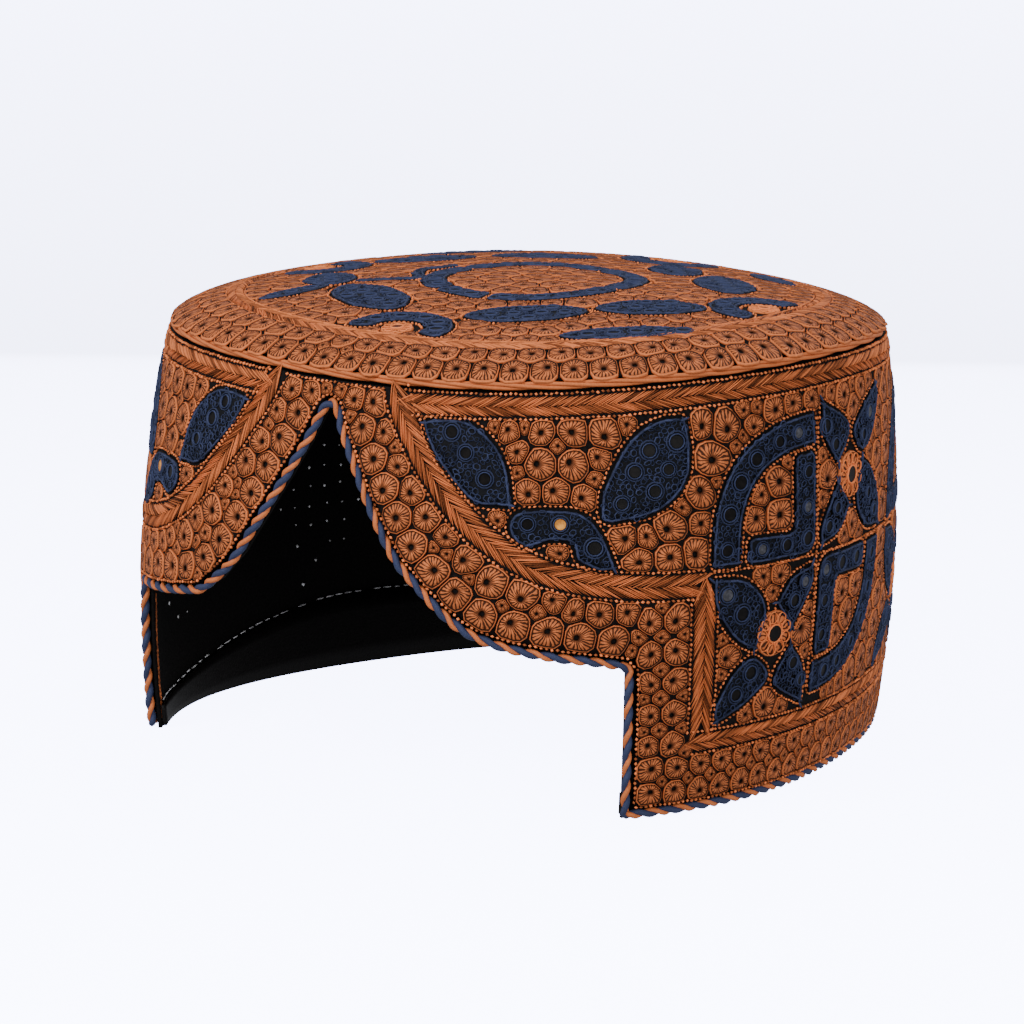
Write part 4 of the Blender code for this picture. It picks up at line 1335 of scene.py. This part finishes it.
def wall_ground():
    """Everything sewn on the wall but its patches."""
    ground = Ground(11, WALL_GIRTH)
    full = settings().wheel
    radius = CROWN_RADIUS
    edge = opening_path()
    ground.take(edge)
    angles = np.linspace(SEAM_ANGLE - math.tau, SEAM_ANGLE, 900)
    rim = np.stack((angles * radius, rim_height(angles)), axis=1)
    front = np.abs(angles - POINT_ANGLE) < math.radians(LOBE_BAND[0][0] - 1.5)
    ground.dot_row(rim[front] - np.array((0.0, 2.0 * MM)), pitch=1.3 * MM)
    ground.take(rim - np.array((0.0, 1.2 * MM)))
    behind = np.abs((angles + math.pi) % math.tau - math.pi) > HALF_OPENING
    ground.take(np.stack((angles * radius, np.full(len(angles), 2.6 * MM)), axis=1)[behind])
    for side in (1.0, -1.0):
        column = 1 if side > 0.0 else 2
        lobe = smooth([((POINT_ANGLE + side * math.radians(row[0])) * radius, row[column] * MM)
                       for row in LOBE_BAND])
        ground.band(lobe, LOBE_BAND_WIDTH)
        ways = np.linspace(lobe[0, 0] + side * 2.2 * MM, side * math.pi * radius, 500)
        ground.band(np.stack((ways, rim_height(ways / radius) - RIM_BAND_DROP), axis=1), BAND_WIDTH)
        bar = POINT_ANGLE * radius + side * (BAR_AZIMUTH - POINT_ANGLE) * radius
        heights = np.linspace(BAR_TOP, BAR_FOOT, 40)
        ground.band(np.array([(bar, height) for height in heights]), LOBE_BAND_WIDTH)
        ways = np.linspace(bar - side * 2.6 * MM, side * math.pi * radius, 400)
        ground.band(np.stack((ways, np.full(len(ways), FOOT_BAND_HEIGHT)), axis=1), FOOT_BAND_WIDTH)
        ways = np.linspace(side * (HALF_OPENING * radius + 3.2 * MM), side * math.pi * radius, 400)
        ground.dot_row(np.stack((ways, np.full(len(ways), 3.2 * MM)), axis=1))
    for distance in (1.2 * MM, 2.3 * MM):
        ground.take(beside(edge[::-1], distance))
    inner = beside(edge[::-1], 3.3 * MM)
    ground.dot_row(inner[inner[:, 1] > 3.0 * MM])
    outline_rows(ground, [node for node in patch_nodes() if not node.startswith("crown_")])
    seeds = wall_seeds(full, edge)
    for number in range(PANEL_COUNT):
        panel(ground, number)
    low, high = ((SEAM_ANGLE - math.tau) * radius, 3.0 * MM), (SEAM_ANGLE * radius, 105.0 * MM)
    candidates = grid_over(low, high, GRID_PITCH)
    candidates = candidates[on_cloth(candidates, WHEEL_MARGIN)]
    seeds = [seed for seed in seeds if on_cloth(np.array([seed[:2]]), WHEEL_MARGIN)[0]]
    ground.fill(seeds, candidates, full, SMALLEST_WALL_WHEEL)
    return ground


def panel(ground, number):
    """A panel's cross of dot rows and the two hubs of its flowers."""
    x, y = math.radians(PANEL_MIDDLE[0] + PANEL_PITCH * number) * CROWN_RADIUS, PANEL_MIDDLE[1] * MM
    reach = 0.49 * math.radians(PANEL_PITCH) * CROWN_RADIUS
    for start, end in (((x - reach, y), (x + reach, y)), ((x, y - 0.93 * reach), (x, y + 0.93 * reach))):
        ground.dot_row(np.linspace(start, end, 60), pitch=1.2 * MM, width=0.34 * MM)
    for level in ("lower", "upper"):
        hub_x, hub_y = panel_place(f"medallion_{number + 1}_flower_{level}")([FLOWER_HUB])[0]
        hub(ground, hub_x, hub_y, HUB_RADIUS)


def hub(ground, x, y, radius):
    """A round rosette of looped petals about a mirror."""
    angles = np.linspace(0.0, math.tau, 24, endpoint=False)
    for reach in (0.35 * radius, 0.7 * radius, radius):
        ground.take(np.stack((x + reach * np.cos(angles), y + reach * np.sin(angles)), axis=1))
    ground.wheels.append(((x, y), np.full(WHEEL_SIDES, radius), 0.7 * MM, 0.0, 0.9))
    for index in range(HUB_PETALS):
        angle = (index + 0.5) / HUB_PETALS * math.tau
        across, rise = 0.68 * radius * math.cos(angle), 0.68 * radius * math.sin(angle)
        size = (0.25 * radius, 0.23 * radius, 1.1 * MM)
        place = place_at(x + across, y + rise, 0.6 * MM, angle, size)
        ground.loops.append((place, ground.chance.uniform(0.7, 1.1)))
    ground.loops.append((place_at(x, y, 0.8 * MM, 0.0, (0.38 * radius, 0.38 * radius, 1.2 * MM)), 1.1))
    ground.mirrors.append((place_at(x, y, 0.7 * MM, 0.0, (0.36 * radius, 0.36 * radius, 0.3 * MM)), 0.5))


def wall_seeds(full, edge):
    """Places in rows for the wall's wheels: (x, y, half width)."""
    radius = CROWN_RADIUS
    seeds = []
    start = HALF_OPENING * radius + 3.9 * MM
    pitch = (WALL_GIRTH - 2.0 * start) / FOOT_ROW_COUNT
    for height in FOOT_ROWS:
        seeds += [(start + (index + 0.5) * pitch, height, FOOT_WHEEL) for index in range(FOOT_ROW_COUNT)]
    for side in (1.0, -1.0):
        for azimuth in UPRIGHT_ROWS:
            x = POINT_ANGLE * radius + side * (math.radians(azimuth) - POINT_ANGLE) * radius
            heights = np.arange(18.9 * MM, 52.0 * MM, UPRIGHT_PITCH)
            seeds += [(x, height, UPRIGHT_WHEEL) for height in heights]
    lobe_edge = edge[np.abs(edge[:, 0]) < HALF_OPENING * radius - 1e-6][::-1]
    for distance in LOBE_WHEEL_ROWS:
        places, _ = spaced(beside(lobe_edge, distance), 2.0 * full)
        seeds += [(x, y, LOBE_WHEEL) for x, y in places]
    pitch = 2.0 * full
    for height in np.arange(95.6 * MM, 20.0 * MM, -pitch):
        for index in range(int(WALL_GIRTH / pitch)):
            seeds.append((POINT_ANGLE * radius + 18.4 * MM + index * pitch, height, full))
    cut = SEAM_ANGLE * radius
    return [((x - cut) % WALL_GIRTH - WALL_GIRTH + cut, *rest) for x, *rest in seeds]


def crown_ground():
    """Everything sewn on the crown but its patches."""
    ground = Ground(23)
    angles = np.linspace(0.0, math.tau, 720, endpoint=False)
    edge = CROWN_RADIUS + wave("rim", angles)

    def circle(share, inwards=0.0):
        reach = edge * share - inwards
        return np.stack((reach * np.sin(angles), -reach * np.cos(angles)), axis=1)

    ground.take(circle(1.004))
    band = circle(CROWN_BAND_SHARE)
    ground.stitches += herringbone(ground.chance, np.vstack((band, band[:1])), CROWN_BAND_WIDTH)
    for share in (-0.5, -0.25, 0.0, 0.25, 0.5):
        ground.take(circle(CROWN_BAND_SHARE, share * CROWN_BAND_WIDTH))
    for side in (-1.0, 1.0):
        line = circle(CROWN_BAND_SHARE, side * (CROWN_BAND_WIDTH / 2.0 + 0.35 * MM))
        ways, turns = spaced(line, 2.4 * MM, closed=True)
        ground.stitches += [(place_at(x, y, 0.35 * MM, turn, (1.5 * MM, 0.24 * MM, 0.30 * MM)),
                             ground.chance.uniform(0.5, 1.2)) for (x, y), turn in zip(ways, turns)]
    nodes = [node for node in patch_nodes() if node.startswith("crown_")]
    outline_rows(ground, nodes)
    for node in nodes:
        if "crescent" in node:
            points = outlines_of(node)[0]
            apart = np.hypot(*(points[:, None] - points[None]).transpose(2, 0, 1))
            tips = points[list(np.unravel_index(np.argmax(apart), apart.shape))]
            x, y = tips.mean(axis=0)
            room = tree_of(np.vstack(outlines_of(node))).find((x, y, 0.0))[2]
            if room > 2.5 * MM:
                hub(ground, x, y, min(CROWN_HUB_RADIUS, room - 0.6 * MM))
    seeds = []
    for share in CROWN_EDGE_ROWS:
        places, _ = spaced(circle(share), 7.2 * MM, closed=True)
        seeds += [(x, y, CROWN_EDGE_WHEEL) for x, y in places]
    for row in range(CROWN_ROW_COUNT):
        places, _ = spaced(circle(0.765 - row * 0.081), 7.1 * MM, closed=True)
        seeds += [(x, y, CROWN_WHEEL) for x, y in places]
    candidates = grid_over((-CROWN_GRID_REACH,) * 2, (CROWN_GRID_REACH,) * 2, GRID_PITCH)
    angle = np.arctan2(candidates[:, 0], -candidates[:, 1])
    near = np.hypot(*candidates.T) < 0.985 * (CROWN_RADIUS + wave("rim", angle))
    ground.fill(seeds, candidates[near], CROWN_WHEEL, SMALLEST_CROWN_WHEEL)
    return ground


class CAP_OT_embroidery(bpy.types.Operator):
    """Wheels, herringbone bands and rows of dots on the wall and the crown"""
    bl_idname = "cap.embroidery"
    bl_label = "Embroidery"

    def execute(self, context):
        for label, ground, chart in (("wall", wall_ground(), on_wall), ("crown", crown_ground(), on_crown)):
            wheels, stitches, rows = Work(), Work(), Work()
            wheels.wheels(Kit.shape(wheel_shape), ground.wheels)
            stitches.stamp(Kit.shape(stitch_shape), ground.stitches)
            stitches.stamp(Kit.shape(loop_shape), ground.loops, 1)
            stitches.stamp(Kit.shape(disc_shape), ground.mirrors, 2)
            rows.stamp(Kit.shape(dot_shape), ground.dots)
            for kind, work, materials in (("wheels", wheels, ["wheel"]), ("dots", rows, ["dot"]),
                                          ("herringbone", stitches, ["thread", "dot", "mirror"])):
                lay(f"{label}_{kind}", work, chart, [Kit.material(material) for material in materials])
        return {"FINISHED"}


def area_light(name, place, target, size, energy):
    light = bpy.data.lights.new(name, "AREA")
    light.size = size
    light.energy = energy
    lamp = bpy.data.objects.new(name, light)
    lamp.location = place
    lamp.rotation_euler = (Vector(target) - Vector(place)).to_track_quat("-Z", "Y").to_euler()
    bpy.context.scene.collection.objects.link(lamp)


# Inside: face of the lining, and where its stitches start beside the opening
LINING_FACE = -(WALL_THICKNESS + LINING_THICKNESS + SEAM_GAP) - 0.1 * MM
INSIDE_START = HALF_OPENING + math.radians(1.2)


class CAP_OT_inside(bpy.types.Operator):
    """Pinholes in the lining, white basting over the satin band, and brown stitches by the uprights"""
    bl_idname = "cap.inside"
    bl_label = "Inside"

    def execute(self, context):
        chance = random.Random(5)
        work = Work()
        work.stamp(Kit.shape(dot_shape), self.pins(chance))
        work.stamp(Kit.shape(stitch_shape), self.basting(chance))
        work.stamp(Kit.shape(stitch_shape), self.upright_stitches(chance), 1)
        materials = [Kit.material("white"), Kit.material("thread")]
        lay("inside_stitches", work, on_wall, materials, (), "black_lining")
        return {"FINISHED"}

    def pins(self, chance):
        """Pale pinholes in loose clusters."""
        low = (INSIDE_START * CROWN_RADIUS, 24.0 * MM)
        high = (WALL_GIRTH - INSIDE_START * CROWN_RADIUS, 98.0 * MM)
        pins = []
        for x, y in grid_over(low, high, PIN_PITCH, even=True):
            cluster = math.sin(x / (9.0 * MM)) + math.sin(y / (8.0 * MM) + 1.3) + chance.uniform(-1.0, 1.0)
            if cluster > 0.1:
                size = chance.uniform(0.3, 0.65) * MM
                x += chance.uniform(-0.5, 0.5) * MM
                y += chance.uniform(-0.5, 0.5) * MM
                pins.append((place_at(x, y, LINING_FACE, 0.0, (size, size, 0.12 * MM)), chance.random()))
        return pins

    def basting(self, chance):
        """White stitches over the satin band's upper edge."""
        ways = np.arange(INSIDE_START + 0.03, math.tau - INSIDE_START - 0.03, 0.004)
        away = np.minimum(1.0, (np.pi - np.abs(ways - np.pi) - HALF_OPENING) / SATIN_RISE_ANGLE)
        hem = SATIN_END_HEIGHT + SATIN_RISE * away * away * (3.0 - 2.0 * away) + BASTING_LIFT
        places, turns = spaced(np.stack((ways * CROWN_RADIUS, hem), axis=1), 3.3 * MM)
        basting = []
        for (x, y), turn in zip(places, turns):
            if chance.random() < 0.82:
                size = (chance.uniform(0.9, 1.75) * MM, 0.24 * MM, 0.2 * MM)
                y += chance.uniform(-0.15, 0.15) * MM
                basting.append((place_at(x, y, LINING_FACE - 0.1 * MM, turn, size), 1.0))
        return basting

    def upright_stitches(self, chance):
        """Two close rows of brown stitches beside each upright edge."""
        inset = INSIDE_START + math.radians(0.4)
        stitches = []
        for angle in (inset, math.tau - inset):
            for height in np.arange(3.0 * MM, 36.0 * MM, 1.15 * MM):
                for aside in (-0.5 * MM, 0.5 * MM):
                    x = angle * CROWN_RADIUS + aside + chance.uniform(-0.3, 0.3) * MM
                    turn = math.pi / 2.0 + chance.uniform(-0.5, 0.5)
                    place = place_at(x, height, LINING_FACE, turn, (0.7 * MM, 0.26 * MM, 0.2 * MM))
                    stitches.append((place, chance.uniform(0.0, 0.9)))
        return stitches


class CAP_OT_stage(bpy.types.Operator):
    """Pale floor, soft lights and the camera"""
    bl_idname = "cap.stage"
    bl_label = "Stage"

    def execute(self, context):
        self.floor()
        self.lights()
        self.camera()
        return {"FINISHED"}

    def floor(self):
        """Pale floor that shines a little by itself, with a softer tone behind a level line."""
        model = bmesh.new()
        bmesh.ops.create_grid(model, x_segments=1, y_segments=1, size=FLOOR_HALF_SIDE)
        floor = bpy.data.objects.new("floor", shape_mesh("floor", model))
        bpy.context.scene.collection.objects.link(floor)
        floor.visible_diffuse = False
        floor.visible_glossy = False
        shader = Shader("floor", 0.9, Specular_IOR_Level=0.0, Emission_Strength=1.0)
        place = shader.node("ShaderNodeTexCoord", output="Object")
        away = (-math.sin(CAMERA_AZIMUTH), math.cos(CAMERA_AZIMUTH), 0.0)
        depth = shader.node("ShaderNodeVectorMath", {"operation": "DOT_PRODUCT"}, (place, away), output=1)
        tone_at = shader.ramp(depth * 0.25 + 0.5, *FLOOR_TONES)
        bright = tuple(FLOOR_SHINE * part for part in settings().floor_colour)
        shine = shader.mix(tone_at, (0.0, 0.0, 0.0, 1.0), (*bright, 1.0))
        shader.put(shader.surface.inputs["Emission Color"], shine)
        floor.data.materials.append(shader.finish((0.9, 0.9, 0.92, 1.0)))

    def lights(self):
        for name, place, side, power in LIGHTS:
            area_light(name, place, LIGHT_TARGET, side, power)
        world = bpy.data.worlds.new("studio")
        bpy.context.scene.world = world
        world.use_nodes = True
        background = world.node_tree.nodes["Background"]
        background.inputs["Color"].default_value = STUDIO_COLOUR
        background.inputs["Strength"].default_value = STUDIO_STRENGTH

    def camera(self):
        azimuth, elevation = CAMERA_AZIMUTH, CAMERA_ELEVATION
        back = Vector((math.sin(azimuth) * math.cos(elevation), -math.cos(azimuth) * math.cos(elevation),
                       math.sin(elevation)))
        level = Vector((math.cos(azimuth), math.sin(azimuth), 0.0))
        upright = back.cross(level)
        right = math.cos(CAMERA_ROLL) * level + math.sin(CAMERA_ROLL) * upright
        up = -math.sin(CAMERA_ROLL) * level + math.cos(CAMERA_ROLL) * upright
        across, rise, height = CAMERA_TARGET
        place = Vector((SHIFT.x, SHIFT.y, height)) + across * level + rise * upright + CAMERA_DISTANCE * back
        data = bpy.data.cameras.new("camera")
        data.sensor_width = SENSOR_MM
        data.lens = FOCAL_PIXELS / PICTURE_SIDE * SENSOR_MM
        camera = bpy.data.objects.new("camera", data)
        camera.matrix_world = Matrix.Translation(place) @ Matrix((right, up, back)).transposed().to_4x4()
        bpy.context.scene.collection.objects.link(camera)
        bpy.context.scene.camera = camera


class CAP_PT_panel(bpy.types.Panel):
    """The cap's operators and sizes in the sidebar"""
    bl_idname = "CAP_PT_panel"
    bl_label = "Sindhi cap"
    bl_space_type = "VIEW_3D"
    bl_region_type = "UI"
    bl_category = "Cap"

    def draw(self, context):
        for name in CapSettings.__annotations__:
            self.layout.prop(context.scene.sindhi_cap, name)
        for operator in OPERATORS:
            self.layout.operator(operator.bl_idname)


OPERATORS = (CAP_OT_cloth, CAP_OT_cords, CAP_OT_patches, CAP_OT_embroidery, CAP_OT_inside, CAP_OT_stage)
CLASSES = (CapSettings, *OPERATORS, CAP_PT_panel)


def register():
    for one in CLASSES:
        bpy.utils.register_class(one)
    bpy.types.Scene.sindhi_cap = bpy.props.PointerProperty(type=CapSettings)


def unregister():
    del bpy.types.Scene.sindhi_cap
    for one in reversed(CLASSES):
        bpy.utils.unregister_class(one)


def main():
    register()
    bpy.ops.cap.cloth()
    bpy.ops.cap.cords()
    bpy.ops.cap.patches()
    bpy.ops.cap.embroidery()
    bpy.ops.cap.inside()
    bpy.ops.cap.stage()


if __name__ == "__main__":
    main()
